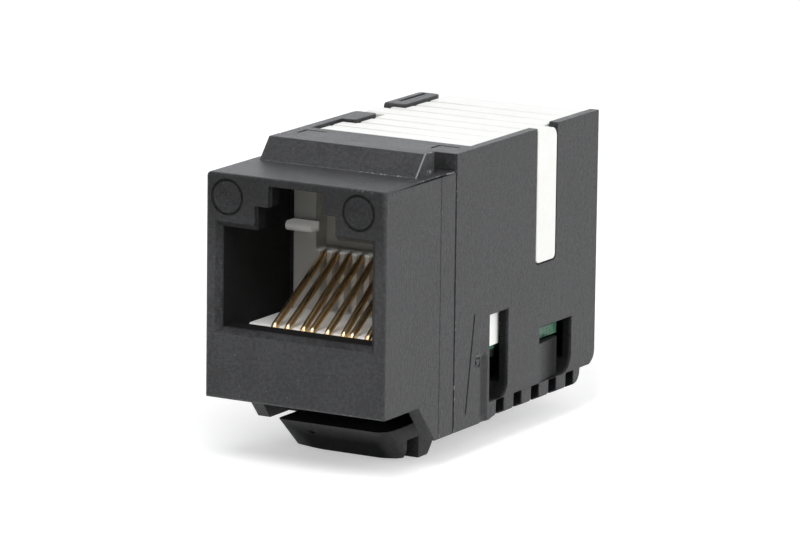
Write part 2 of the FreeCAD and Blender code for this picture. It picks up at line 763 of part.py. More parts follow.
def contactCarrier():
    piece = Piece("contact_carrier")
    tongueLow = carrierFloor - s.tongueThick
    tongueRound = s.tongueThick * FULL_ROUND
    carrierBack = bandBack - s.carrierGap
    lipFront = s.bendDeep - s.tongueThick / 2
    top = cavityHigh - s.carrierSlip
    side = [
        (lipFront, tongueLow, tongueRound),
        (grooveFront, tongueLow),
        (grooveFront, boardTop),
        (carrierBack, boardTop),
        (carrierBack, top),
        (s.wallFront, top),
        (s.wallFront, carrierFloor),
        (lipFront, carrierFloor, tongueRound),
    ]
    piece.pad("YZ", side, -carrierWide / 2, carrierWide / 2)
    # recess over the comb, then the comb's slots
    combWide = s.wirePitch * (CONTACTS - 1) + wireSlot + s.combMargin * 2
    recess = even(combWide, s.combHigh, top)
    piece.pocket("XZ", recess, s.wallFront, s.wallFront + s.recessDeep)
    left = contactX(0) - wireSlot / 2
    slot = block(carrierFloor, s.combHigh, left, left + wireSlot)
    first = piece.pocket("XZ", slot, s.wallFront, s.wallFront + s.combDeep)
    piece.repeat(first, "X", s.wirePitch, CONTACTS)
    # grooves under the floor that hold the wires' lower runs
    grooveBack = legDeep(1) + s.legBend
    for start in (0, 1):
        grooves = []
        for number in range(start, CONTACTS, 2):
            ahead = contactX(number) + leanShift(number, grooveFront)
            behind = contactX(number) + leanShift(number, grooveBack)
            half = wireSlot / 2
            grooves.append(
                [
                    (ahead - half, grooveFront),
                    (ahead + half, grooveFront),
                    (behind + half, grooveBack),
                    (behind - half, grooveBack),
                ]
            )
        piece.pockets("XY", grooves, boardTop, tongueLow)
    # plug stops, rounded at the front
    stopFront = s.wallFront - s.stopReach
    stopRound = s.stopTall * FULL_ROUND
    stop = [
        (stopFront, s.stopUp, stopRound),
        (s.wallFront, s.stopUp),
        (s.wallFront, s.stopUp + s.stopTall),
        (stopFront, s.stopUp + s.stopTall, stopRound),
    ]
    built = piece.pad("YZ", stop, carrierWide / 2 - s.stopWide, carrierWide / 2)
    piece.mirror(built)
    return piece


def legDeep(number):
    return boardFront + s.legAway + s.legStep * (number % 2)


def contact(number):
    # An eight-sided wire bent in one plane: free tip, slope, front bend, lower run and soldered leg.
    piece = Piece(f"contact_{number + 1}")
    bendUp = carrierFloor - s.tongueThick / 2
    legX = legDeep(number)
    path = piece.sketch("YZ", 0)
    rise = math.radians(s.riseAngle.value)
    bend = FreeCAD.Vector(s.bendDeep.value, bendUp.value, 0)
    across = FreeCAD.Vector(-math.sin(rise), math.cos(rise), 0)
    start = bend + across * bendRadius.value
    run = tipDeep.value - start.x
    tip = start + FreeCAD.Vector(run, run * math.tan(rise), 0)
    lowest = bend - FreeCAD.Vector(0, bendRadius.value, 0)
    far = FreeCAD.Vector(legX.value - s.legBend.value, lowest.y, 0)
    elbow = far - FreeCAD.Vector(0, s.legBend.value, 0)
    slope = path.addGeometry(Part.LineSegment(start, tip), False)
    bendCircle = Part.Circle(bend, FreeCAD.Vector(0, 0, 1), bendRadius.value)
    frontBend = path.addGeometry(Part.ArcOfCircle(bendCircle, rise + math.pi / 2, math.pi * 1.5), False)
    lower = path.addGeometry(Part.LineSegment(lowest, far), False)
    elbowCircle = Part.Circle(elbow, FreeCAD.Vector(0, 0, 1), s.legBend.value)
    turn = path.addGeometry(Part.ArcOfCircle(elbowCircle, 0, math.pi / 2), False)
    knee = elbow + FreeCAD.Vector(s.legBend.value, 0, 0)
    foot = FreeCAD.Vector(legX.value, legEnd.value, 0)
    leg = path.addGeometry(Part.LineSegment(knee, foot), False)
    path.addConstraint(Sketcher.Constraint("Tangent", slope, 1, frontBend, 1))
    path.addConstraint(Sketcher.Constraint("Tangent", frontBend, 2, lower, 1))
    path.addConstraint(Sketcher.Constraint("Tangent", lower, 2, turn, 2))
    path.addConstraint(Sketcher.Constraint("Tangent", turn, 1, leg, 1))
    path.addConstraint(Sketcher.Constraint("Horizontal", lower))
    path.addConstraint(Sketcher.Constraint("Vertical", leg))
    pin(path, frontBend, 3, s.bendDeep, bendUp)
    pin(path, leg, 2, legX, legEnd)
    for geometry, radius in ((frontBend, bendRadius), (turn, s.legBend)):
        held = path.addConstraint(Sketcher.Constraint("Radius", geometry, radius.value))
        path.setExpression(f"Constraints[{held}]", radius.text)
    held = path.addConstraint(Sketcher.Constraint("DistanceX", -1, 1, slope, 2, tipDeep.value))
    path.setExpression(f"Constraints[{held}]", tipDeep.text)
    held = path.addConstraint(Sketcher.Constraint("Angle", slope, rise))
    path.setExpression(f"Constraints[{held}]", f"{s.riseAngle.text} * 1 deg")
    section = piece.sketch("XY", legEnd)
    half = s.wireWide / 2
    corners = [(half, half * EIGHTH), (half * EIGHTH, half)]
    corners += [(-across, up) for across, up in reversed(corners)]
    corners += [(-across, -up) for across, up in corners]
    draw(section, [(across, legX + up) for across, up in corners])
    doc.recompute()
    pipe = piece.feature("PartDesign::AdditivePipe")
    pipe.Profile = (section, [""])
    pipe.Spine = (path, [""])
    piece.body.Tip = pipe
    # a leaning contact is the same wire turned about its tip
    angle = lean(number)
    place = contactX(number) + tipDeep * turned(angle, "sin")
    back = tipDeep * (sized(1) - turned(angle, "cos"))
    piece.body.Placement.Rotation = FreeCAD.Rotation(FreeCAD.Vector(0, 0, 1), angle.value)
    piece.body.setExpression("Placement.Rotation.Angle", f"{angle.text} * 1 deg")
    piece.body.setExpression("Placement.Base.x", place.text)
    piece.body.setExpression("Placement.Base.y", back.text)
    return piece


def bladeDeep(number):
    return bladeFirst + s.bladePitch * (number % BLADES_IN_ROW)


def bladeX(number):
    row = -1 if number < BLADES_IN_ROW else 1
    return s.bladeApart / 2 * row


def circuitBoard():
    piece = Piece("circuit_board")
    half = boardWide / 2
    narrow = half - s.boardNotchDeep
    notchFront = seam + s.boardNotchAway
    notchBack = notchFront + s.boardNotchLong
    right = [
        (half, boardFront),
        (half, notchFront),
        (narrow, notchFront),
        (narrow, notchBack),
        (half, notchBack),
        (half, boardBack - s.boardCorner),
        (half - s.boardCorner, boardBack),
    ]
    left = [(-across, deep) for across, deep in reversed(right)]
    piece.pad("XY", right + left, boardUnder, boardTop)
    holes = []
    for number in range(CONTACTS):
        shift = leanShift(number, legDeep(number))
        holes.append((contactX(number) + shift, legDeep(number), s.legHole))
    for number in range(2 * BLADES_IN_ROW):
        holes.append((bladeX(number), bladeDeep(number), s.tailHole))
    piece.drill("XY", holes, boardUnder, boardTop)
    return piece


def idcBlock():
    piece = Piece("idc_block")
    half = boardWide / 2
    slim = half - s.blockStep
    shoulder = blockFront + s.shoulderLong
    right = [(half, blockFront), (half, shoulder), (slim, shoulder), (slim, blockBack)]
    left = [(-across, deep) for across, deep in reversed(right)]
    top = boardTop + s.blockTall
    piece.pad("XY", right + left, boardTop, top)
    wide = s.bladeThick / 2 + s.bladeSlip
    long = s.bladeWide / 2 + s.bladeSlip
    slots = []
    for number in range(2 * BLADES_IN_ROW):
        across, deep = bladeX(number), bladeDeep(number)
        slots.append(
            [
                (across - wide, deep - long),
                (across + wide, deep - long),
                (across + wide, deep + long),
                (across - wide, deep + long),
            ]
        )
    piece.pockets("XY", slots, boardTop, top)
    return piece


def idcContact(number):
    # A stamped blade: tail through the board, shoulders on it, and a slit with a flared mouth.
    piece = Piece(f"idc_contact_{number + 1}")
    middle = bladeDeep(number)
    back = [
        (s.tailWide / 2, legEnd),
        (s.tailWide / 2, boardTop),
        (s.bladeWide / 2, boardTop),
        (s.bladeWide / 2, bladeTop),
        (s.slitMouth / 2, bladeTop),
        (s.slitWide / 2, bladeTop - s.slitLead),
        (s.slitWide / 2, bladeTop - s.slitDeep),
    ]
    front = [(-across, up) for across, up in reversed(back)]
    outline = [(middle + across, up) for across, up in back + front]
    middleX = bladeX(number)
    piece.pad("YZ", outline, middleX - s.bladeThick / 2, middleX + s.bladeThick / 2)
    return piece


def wireCap():
    piece = Piece("wire_cap")
    half = bodyInside / 2 - s.capSlip
    front = bandBack + s.capSlip
    innerBack = backWall - s.capSlip
    armFront = armSlotFront + s.armSlip
    armBack = armSlotBack - s.armSlip
    plate = [(-half, front), (half, front), (half, bodyDeep), (-half, bodyDeep)]
    piece.pad("XY", plate, capUnder, capTop)
    skirt = [(-half, front), (half, front), (half, innerBack), (-half, innerBack)]
    piece.pad("XY", skirt, skirtLow, capUnder)
    inner = half - s.skirtThick
    hollow = [
        (-inner, front + s.skirtThick),
        (inner, front + s.skirtThick),
        (inner, innerBack - s.skirtThick),
        (-inner, innerBack - s.skirtThick),
    ]
    piece.pocket("XY", hollow, skirtLow, capUnder)
    # arms that lie flush in the body's side slots
    armLow = armSlotLow + s.armSlip
    arm = [
        (armFront, armLow, s.armSlotRound),
        (armBack, armLow, s.armSlotRound),
        (armBack, capTop, s.armRound),
        (armFront, capTop),
    ]
    built = piece.pad("YZ", arm, inner, outside)
    piece.mirror(built)
    # rails that press the wires on to the blades
    railFront = front + s.skirtThick
    middle = s.bladeApart / 2
    clear = s.pressGap / 2
    pressLow = bladeTop - s.pressOver
    rails = []
    for row in (-1, 1):
        for sign in (-1, 1):
            edges = sorted(
                (middle * row + clear * sign, middle * row + (clear + s.pressThick) * sign),
                key=lambda term: term.value,
            )
            rails.append(block(pressLow, capUnder, edges[0], edges[1]))
    piece.shape("PartDesign::Pad", "XZ", rails, railFront, blockBack)
    reach = middle + clear + s.pressThick
    notches = [(bladeDeep(number), pressLow, s.wireNotch) for number in range(BLADES_IN_ROW)]
    piece.drill("YZ", notches, -reach, reach)
    # tongue that closes the cable inlet from above, and the way through the skirt below it
    tongueWide = s.inletWide - s.capSlip * 2
    tongueLow = inletLow + s.inletTall
    piece.pad("XZ", even(tongueWide, tongueLow, capUnder), innerBack, bodyDeep)
    piece.pocket("XZ", even(tongueWide, skirtLow, tongueLow), innerBack - s.skirtThick, innerBack)
    # channels that clear the guide pads of the left wall
    side = -bodyInside / 2
    for padFront, padBack, thick in GUIDE_PADS:
        channel = [
            (side, padFront - s.capSlip),
            (side + thick + s.capSlip, padFront - s.capSlip),
            (side + thick + s.capSlip, padBack + s.capSlip),
            (side, padBack + s.capSlip),
        ]
        piece.pocket("XY", channel, skirtLow, capTop)
    # shallow grooves across the top
    grooveLow = capTop - s.topGrooveDeep
    grooveStart = bandBack + s.topGrooveAway
    groove = block(grooveLow, capTop, grooveStart, grooveStart + s.topGroove)
    first = piece.pocket("YZ", groove, -outside, outside)
    piece.repeat(first, "Y", s.topGroovePitch, TOP_GROOVES)
    return piece


pieces = [frontHousing(), panelLatch(), rearBody(), contactCarrier()]
pieces += [contact(number) for number in range(CONTACTS)]
pieces += [circuitBoard(), idcBlock()]
pieces += [idcContact(number) for number in range(2 * BLADES_IN_ROW)]
pieces.append(wireCap())
doc.recompute()

failed = [item.Name for item in doc.Objects if "Invalid" in item.State or "Error" in item.State]
if failed:
    raise RuntimeError(f"these did not build: {failed}")
for piece in pieces:
    shape = piece.body.Shape
    if shape.isNull() or not shape.isValid() or len(shape.Solids) != 1:
        raise RuntimeError(f"{piece.body.Label} is not one valid solid")
os.makedirs("parts", exist_ok=True)
for piece in pieces:
    piece.body.Shape.exportStep(f"parts/{piece.body.Label}.step")
    print(piece.body.Label, round(piece.body.Shape.Volume, 2))
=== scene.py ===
import bpy
import bmesh
import math
from mathutils import Matrix, Vector


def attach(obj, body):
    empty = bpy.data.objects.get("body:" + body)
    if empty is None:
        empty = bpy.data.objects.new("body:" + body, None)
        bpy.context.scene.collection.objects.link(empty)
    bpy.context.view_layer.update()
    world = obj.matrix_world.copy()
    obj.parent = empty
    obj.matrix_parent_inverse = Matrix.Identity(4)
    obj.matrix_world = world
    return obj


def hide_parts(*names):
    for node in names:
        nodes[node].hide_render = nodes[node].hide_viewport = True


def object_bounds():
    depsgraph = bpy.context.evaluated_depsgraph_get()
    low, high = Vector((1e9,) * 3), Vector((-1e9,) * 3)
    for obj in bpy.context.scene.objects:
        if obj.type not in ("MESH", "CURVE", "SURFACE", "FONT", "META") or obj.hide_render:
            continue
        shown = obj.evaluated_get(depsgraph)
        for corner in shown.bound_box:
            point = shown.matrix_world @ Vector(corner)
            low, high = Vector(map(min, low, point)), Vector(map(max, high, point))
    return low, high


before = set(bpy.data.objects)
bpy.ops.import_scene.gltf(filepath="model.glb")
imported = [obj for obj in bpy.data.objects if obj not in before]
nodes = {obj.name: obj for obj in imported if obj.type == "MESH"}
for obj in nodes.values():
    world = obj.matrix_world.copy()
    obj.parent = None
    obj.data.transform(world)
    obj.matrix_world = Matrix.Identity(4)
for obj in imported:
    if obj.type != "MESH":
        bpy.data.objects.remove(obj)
cadBox = [list(corner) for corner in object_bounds()]
mm = 0.001
print("frame loaded:", len(nodes), "nodes")

# Camera, floor and lamps
shot = {
    "azimuth": 29.82,  # degrees to the right of the front face
    "elevation": 11.76,
    "roll": 0.74,
    "distance": 447 * mm,
    "lens": 281.8,
    "sensor": 36,
    "nearest": 10 * mm,
    "farthest": 10,
    "target": (0.08 * mm, 14.6 * mm, -1.62 * mm),
}
studio = {
    "worldLight": 0.33,  # level of the white surroundings on the object
    "floorColour": (0.8, 0.8, 0.8),
    "floorRoughness": 0.9,
    "floorHalf": 0.9,  # half the floor's side, in metres
    "floorGlow": 0.45,  # added only for what the camera sees, so that the floor reads white
    "skimColour": (0.86, 0.92, 1.0),
    "lamps": [
        # name, azimuth, elevation, distance, width, watts per square metre
        ("keyLamp", 74, 36, 0.30, 0.22, 6.9),
        ("sideLamp", 64, 6, 0.34, 0.14, 6.0),
        ("frontLamp", 16, 50, 0.30, 0.12, 32.5),
        ("fillLamp", -64, 50, 0.34, 0.26, 1.0),
        ("topLamp", 158, 70, 0.28, 0.20, 0.8),
        ("skimLamp", -150, 16, 0.36, 0.26, 2.0),
        ("rearLamp", 136, 17, 0.34, 0.20, 6.5),
    ],
}


def around(azimuth, elevation):
    # Direction from the object out to a place round it
    side, up = math.radians(azimuth), math.radians(elevation)
    return Vector((math.sin(side) * math.cos(up), -math.cos(side) * math.cos(up), math.sin(up)))


def facing(back, roll=0.0):
    # Rotation whose local Z looks along `back`, level before the roll is added
    right = Vector((0, 0, 1)).cross(back).normalized()
    up = back.cross(right)
    turned = Matrix((right, up, back)).transposed()
    return (turned @ Matrix.Rotation(math.radians(roll), 3, "Z")).to_4x4()


def link(thing):
    bpy.context.scene.collection.objects.link(thing)
    return thing


def makeCamera():
    data = bpy.data.cameras.new("camera")
    data.lens = shot["lens"]
    data.sensor_width = shot["sensor"]
    data.clip_start = shot["nearest"]
    data.clip_end = shot["farthest"]
    camera = link(bpy.data.objects.new("camera", data))
    back = around(shot["azimuth"], shot["elevation"])
    place = Vector(shot["target"]) + back * shot["distance"]
    camera.matrix_world = Matrix.Translation(place) @ facing(back, shot["roll"])
    bpy.context.scene.camera = camera


def makeStudio():
    scene = bpy.context.scene
    scene.view_settings.view_transform = "Standard"
    world = bpy.data.worlds.new("studioWorld")
    world.use_nodes = True
    scene.world = world
    tree = world.node_tree
    tree.nodes.clear()
    shine = tree.nodes.new("ShaderNodeBackground")
    seen = seenRays(tree)
    shine.inputs["Color"].default_value = (1, 1, 1, 1)
    tree.links.new(rangeNode(tree, seen, 0, 1, studio["worldLight"], 1.0), shine.inputs["Strength"])
    tree.links.new(shine.outputs[0], tree.nodes.new("ShaderNodeOutputWorld").inputs["Surface"])

    for name, azimuth, elevation, distance, width, level in studio["lamps"]:
        data = bpy.data.lights.new(name, "AREA")
        data.size = width
        data.energy = level * width * width
        data.color = studio["skimColour"] if name == "skimLamp" else (1, 1, 1)
        lamp = link(bpy.data.objects.new(name, data))
        out = around(azimuth, elevation)
        middle = Vector(shot["target"])
        lamp.matrix_world = Matrix.Translation(middle + out * distance) @ facing(out)

    low = cadBox[0][2]
    half = studio["floorHalf"]
    mesh = bpy.data.meshes.new("floor")
    corners = [(-half, -half, low), (half, -half, low), (half, half, low), (-half, half, low)]
    mesh.from_pydata(corners, [], [(0, 1, 2, 3)])
    floor = link(bpy.data.objects.new("floor", mesh))
    material = bpy.data.materials.new("floorPaper")
    material.use_nodes = True
    tree = material.node_tree
    shader = tree.nodes["Principled BSDF"]
    shader.inputs["Base Color"].default_value = (*studio["floorColour"], 1)
    shader.inputs["Roughness"].default_value = studio["floorRoughness"]
    shader.inputs["Specular IOR Level"].default_value = 0.0
    glow = tree.nodes.new("ShaderNodeEmission")
    level = mathNode(tree, "MULTIPLY", seenRays(tree), studio["floorGlow"])
    tree.links.new(level, glow.inputs["Strength"])
    both = tree.nodes.new("ShaderNodeAddShader")
    tree.links.new(shader.outputs[0], both.inputs[0])
    tree.links.new(glow.outputs[0], both.inputs[1])
    tree.links.new(both.outputs[0], tree.nodes["Material Output"].inputs["Surface"])
    mesh.materials.append(material)


# Small builders for shader trees
def mathNode(tree, operation, first, second=None, clamp=False):
    node = tree.nodes.new("ShaderNodeMath")
    node.operation = operation
    node.use_clamp = clamp
    for place, term in ((0, first), (1, second)):
        if term is None:
            continue
        if isinstance(term, (int, float)):
            node.inputs[place].default_value = term
        else:
            tree.links.new(term, node.inputs[place])
    return node.outputs[0]


def vectorNode(tree, operation, *terms):
    node = tree.nodes.new("ShaderNodeVectorMath")
    node.operation = operation
    for place, term in enumerate(terms):
        tree.links.new(term, node.inputs[place])
    return node


def rangeNode(tree, value, low, high, toLow=0.0, toHigh=1.0):
    node = tree.nodes.new("ShaderNodeMapRange")
    for label, number in (("From Min", low), ("From Max", high), ("To Min", toLow), ("To Max", toHigh)):
        node.inputs[label].default_value = number
    tree.links.new(value, node.inputs["Value"])
    return node.outputs["Result"]


def mixColour(tree, amount, first, second):
    node = tree.nodes.new("ShaderNodeMix")
    node.data_type = "RGBA"
    tree.links.new(amount, node.inputs[0])
    for place, term in ((6, first), (7, second)):
        if isinstance(term, (tuple, list)):
            node.inputs[place].default_value = (*term, 1)
        else:
            tree.links.new(term, node.inputs[place])
    return node.outputs[2]


def objectPlace(tree):
    return tree.nodes.new("ShaderNodeTexCoord").outputs["Object"]


def axesOf(tree, place):
    split = tree.nodes.new("ShaderNodeSeparateXYZ")
    tree.links.new(place, split.inputs[0])
    return split.outputs


def plainNoise(tree, place, size, detail=2.0):
    # Noise whose features are about `size` metres across
    noise = tree.nodes.new("ShaderNodeTexNoise")
    noise.inputs["Scale"].default_value = 1 / size
    noise.inputs["Detail"].default_value = detail
    tree.links.new(place, noise.inputs["Vector"])
    return noise.outputs["Fac"]


def noiseNode(tree, place, scale, size, detail=2.0, rough=0.5):
    # The same with a scale of its own and a choice of roughness; `size` holds at scale 1
    noise = tree.nodes.new("ShaderNodeTexNoise")
    noise.inputs["Detail"].default_value = detail
    noise.inputs["Roughness"].default_value = rough
    tree.links.new(place, noise.inputs["Vector"])
    tree.links.new(mathNode(tree, "MULTIPLY", scale, 1.0 / size), noise.inputs["Scale"])
    return noise.outputs["Fac"]


def seenRays(tree):
    # 1 for what the camera sees itself, in a reflection or through glass
    path = tree.nodes.new("ShaderNodeLightPath")
    seen = mathNode(tree, "MAXIMUM", path.outputs["Is Camera Ray"], path.outputs["Is Transmission Ray"])
    return mathNode(tree, "MAXIMUM", seen, path.outputs["Is Glossy Ray"])


def newGroup(name, inputs, outputs):
    tree = bpy.data.node_groups.new(name, "ShaderNodeTree")
    for label, value in inputs:
        kind = "NodeSocketVector" if isinstance(value, tuple) else "NodeSocketFloat"
        tree.interface.new_socket(label, in_out="INPUT", socket_type=kind).default_value = value
    for label in outputs:
        tree.interface.new_socket(label, in_out="OUTPUT", socket_type="NodeSocketFloat")
    return tree, tree.nodes.new("NodeGroupInput"), tree.nodes.new("NodeGroupOutput")


grainSizes = {"fine": 0.1 * mm, "wide": 0.6 * mm, "mottle": 0.28 * mm, "cloud": 3 * mm, "speck": 0.36 * mm}


def makeGrain():
    # Fine texture of a moulding: a height, a broad cloud and sparse pale specks
    inputs = [("Scale", 1.0), ("Speck Amount", 0.3)]
    tree, start, end = newGroup("mouldGrain", inputs, ["Height", "Mottle", "Cloud", "Specks"])
    place = objectPlace(tree)
    scale = start.outputs["Scale"]
    fine = noiseNode(tree, place, scale, grainSizes["fine"], 3.0, 0.6)
    wide = noiseNode(tree, place, scale, grainSizes["wide"])
    tree.links.new(mathNode(tree, "ADD", fine, mathNode(tree, "MULTIPLY", wide, 0.2)), end.inputs["Height"])
    tree.links.new(noiseNode(tree, place, scale, grainSizes["mottle"], 3.0, 0.65), end.inputs["Mottle"])
    tree.links.new(noiseNode(tree, place, scale, grainSizes["cloud"], 4.0, 0.55), end.inputs["Cloud"])
    cells = tree.nodes.new("ShaderNodeTexVoronoi")
    tree.links.new(place, cells.inputs["Vector"])
    tree.links.new(mathNode(tree, "MULTIPLY", scale, 1.0 / grainSizes["speck"]), cells.inputs["Scale"])
    spots = rangeNode(tree, cells.outputs["Distance"], 0.05, 0.17, 1.0, 0.0)
    split = tree.nodes.new("ShaderNodeSeparateColor")
    tree.links.new(cells.outputs["Color"], split.inputs["Color"])
    limit = mathNode(tree, "SUBTRACT", 1.0, start.outputs["Speck Amount"])
    picked = mathNode(tree, "GREATER_THAN", split.outputs["Red"], limit)
    faded = mathNode(tree, "MULTIPLY", mathNode(tree, "MULTIPLY", spots, picked), split.outputs["Green"])
    tree.links.new(faded, end.inputs["Specks"])
    return tree


def makeRingMarks():
    # Faint turned rings inside each round mark, for a bump
    tree, start, end = newGroup("ringMarks", [("Across", 0.0), ("Up", 0.0), ("Radius", 1.0)], ["Height"])
    place = objectPlace(tree)
    axes = axesOf(tree, place)
    across = mathNode(tree, "SUBTRACT", axes["X"], start.outputs["Across"])
    up = mathNode(tree, "SUBTRACT", axes["Z"], start.outputs["Up"])
    squares = [mathNode(tree, "MULTIPLY", side, side) for side in (across, up)]
    away = mathNode(tree, "SQRT", mathNode(tree, "ADD", *squares))
    reach = mathNode(tree, "DIVIDE", away, start.outputs["Radius"])
    wave = mathNode(tree, "SINE", mathNode(tree, "MULTIPLY", reach, 32.0))
    nearFace = rangeNode(tree, axes["Y"], 0.2 * mm, 0.1 * mm)
    within = mathNode(tree, "MULTIPLY", rangeNode(tree, reach, 0.95, 0.85), nearFace)
    breaks = rangeNode(tree, plainNoise(tree, place, 0.7 * mm), 0.42, 0.6)
    kept = mathNode(tree, "MULTIPLY", within, breaks)
    tree.links.new(mathNode(tree, "MULTIPLY", wave, kept), end.inputs["Height"])
    return tree


def makeBoxMask():
    # 1 well inside a box, fading to 0 at its sides; the heights have a fade of their own
    labels = ["Left", "Right", "Front", "Back", "Low", "High", "Fade", "Fade Up"]
    tree, start, end = newGroup("boxMask", [(label, 0.0) for label in labels], ["Inside"])
    axes = axesOf(tree, objectPlace(tree))
    nearest = []
    for axis, low, high in (("X", "Left", "Right"), ("Y", "Front", "Back"), ("Z", "Low", "High")):
        above = mathNode(tree, "SUBTRACT", axes[axis], start.outputs[low])
        below = mathNode(tree, "SUBTRACT", start.outputs[high], axes[axis])
        nearest.append(mathNode(tree, "MINIMUM", above, below))
    level = mathNode(tree, "DIVIDE", mathNode(tree, "MINIMUM", nearest[0], nearest[1]), start.outputs["Fade"])
    upright = mathNode(tree, "DIVIDE", nearest[2], start.outputs["Fade Up"])
    tree.links.new(mathNode(tree, "MINIMUM", level, upright, True), end.inputs["Inside"])
    return tree


def makeGapMask():
    # 1 in a row of gaps that repeat along Y, below a height and within a half width
    labels = ["Start", "Pitch", "Width", "Half", "High", "Fade"]
    tree, start, end = newGroup("gapMask", [(label, 0.0) for label in labels], ["Inside"])
    axes = axesOf(tree, objectPlace(tree))
    behind = mathNode(tree, "SUBTRACT", axes["Y"], start.outputs["Start"])
    along = mathNode(tree, "FLOORED_MODULO", behind, start.outputs["Pitch"])
    steps = [
        behind,
        mathNode(tree, "SUBTRACT", start.outputs["Width"], along),
        mathNode(tree, "SUBTRACT", start.outputs["High"], axes["Z"]),
        mathNode(tree, "SUBTRACT", start.outputs["Half"], mathNode(tree, "ABSOLUTE", axes["X"])),
    ]
    inside = mathNode(tree, "MINIMUM", steps[0], steps[1])
    inside = mathNode(tree, "MINIMUM", inside, mathNode(tree, "MINIMUM", steps[2], steps[3]))
    tree.links.new(mathNode(tree, "DIVIDE", inside, start.outputs["Fade"], True), end.inputs["Inside"])
    return tree


def makeScuffAndHighlightLine():
    # Pale wear and a painted highlight along a straight line; Cover is the share of the line that shows it
    inputs = [
        ("Start", (0.0, 0.0, 0.0)),
        ("Direction", (1.0, 0.0, 0.0)),
        ("Length", 1.0),
        ("Radius", 1.0),
        ("Cover", 0.5),
    ]
    tree, start, end = newGroup("scuffAndHighlightLine", inputs, ["Wear"])
    place = objectPlace(tree)
    away = vectorNode(tree, "SUBTRACT", place, start.outputs["Start"]).outputs["Vector"]
    cross = vectorNode(tree, "CROSS_PRODUCT", away, start.outputs["Direction"]).outputs["Vector"]
    distance = vectorNode(tree, "LENGTH", cross).outputs["Value"]
    along = vectorNode(tree, "DOT_PRODUCT", away, start.outputs["Direction"]).outputs["Value"]
    near = mathNode(tree, "SUBTRACT", 1.0, mathNode(tree, "DIVIDE", distance, start.outputs["Radius"]))
    near = mathNode(tree, "MULTIPLY", near, 2.0, True)
    left = mathNode(tree, "SUBTRACT", start.outputs["Length"], along)
    within = mathNode(tree, "GREATER_THAN", mathNode(tree, "MINIMUM", along, left), 0.0)
    chips = plainNoise(tree, place, 0.3 * mm, 3)
    # the noise lies mostly between 0.3 and 0.7
    limit = mathNode(tree, "SUBTRACT", 0.7, mathNode(tree, "MULTIPLY", start.outputs["Cover"], 0.4))
    chipped = mathNode(tree, "MULTIPLY", mathNode(tree, "SUBTRACT", chips, limit), 12.0, True)
    line = mathNode(tree, "MULTIPLY", near, within)
    tree.links.new(mathNode(tree, "MULTIPLY", line, chipped), end.inputs["Wear"])
    return tree


def makeEdgeWear():
    # Mask of the rounded edges, for their wear and a painted highlight, broken up where they are less worn
    tree, start, end = newGroup("edgeWear", [("Breakup", 0.5)], ["Edge"])
    marked = tree.nodes.new("ShaderNodeAttribute")
    marked.attribute_name = "edge"
    chips = rangeNode(tree, plainNoise(tree, objectPlace(tree), 0.5 * mm, 3), 0.35, 0.65)
    lost = mathNode(tree, "MULTIPLY", chips, start.outputs["Breakup"])
    kept = mathNode(tree, "SUBTRACT", 1.0, lost, True)
    tree.links.new(mathNode(tree, "MULTIPLY", marked.outputs["Fac"], kept, True), end.inputs["Edge"])
    return tree


def makeDrawLines():
    # Long fine lines along a drawn or rolled metal surface
    tree, start, end = newGroup("drawLines", [("Along X", 1.0), ("Along Z", 1.0)], ["Lines", "Stain"])
    ratio = tree.nodes.new("ShaderNodeCombineXYZ")
    tree.links.new(start.outputs["Along X"], ratio.inputs["X"])
    ratio.inputs["Y"].default_value = 0.03
    tree.links.new(start.outputs["Along Z"], ratio.inputs["Z"])
    stretched = vectorNode(tree, "MULTIPLY", objectPlace(tree), ratio.outputs[0]).outputs["Vector"]
    for label, size, detail in (("Lines", 0.11 * mm, 2.0), ("Stain", 0.9 * mm, 3.0)):
        tree.links.new(plainNoise(tree, stretched, size, detail), end.inputs[label])
    return tree


def placeGroup(tree, group, **values):
    node = tree.nodes.new("ShaderNodeGroup")
    node.node_tree = group
    for label, value in values.items():
        node.inputs[label].default_value = value
    return node


def placeMask(tree, where):
    # How far inside a box or a row of gaps, given in millimetres
    group = gapGroup if "Pitch" in where else boxGroup
    sizes = {label: value * mm for label, value in where.items()}
    return placeGroup(tree, group, **sizes).outputs["Inside"]


def strongest(tree, parts):
    level = parts[0]
    for part in parts[1:]:
        level = mathNode(tree, "MAXIMUM", level, part)
    return level


def newMaterial(name):
    material = bpy.data.materials.new(name)
    material.use_nodes = True
    return material, material.node_tree, material.node_tree.nodes["Principled BSDF"]


def addBump(tree, shader, height, depth):
    bump = tree.nodes.new("ShaderNodeBump")
    bump.inputs["Distance"].default_value = depth
    tree.links.new(height, bump.inputs["Height"])
    tree.links.new(bump.outputs[0], shader.inputs["Normal"])


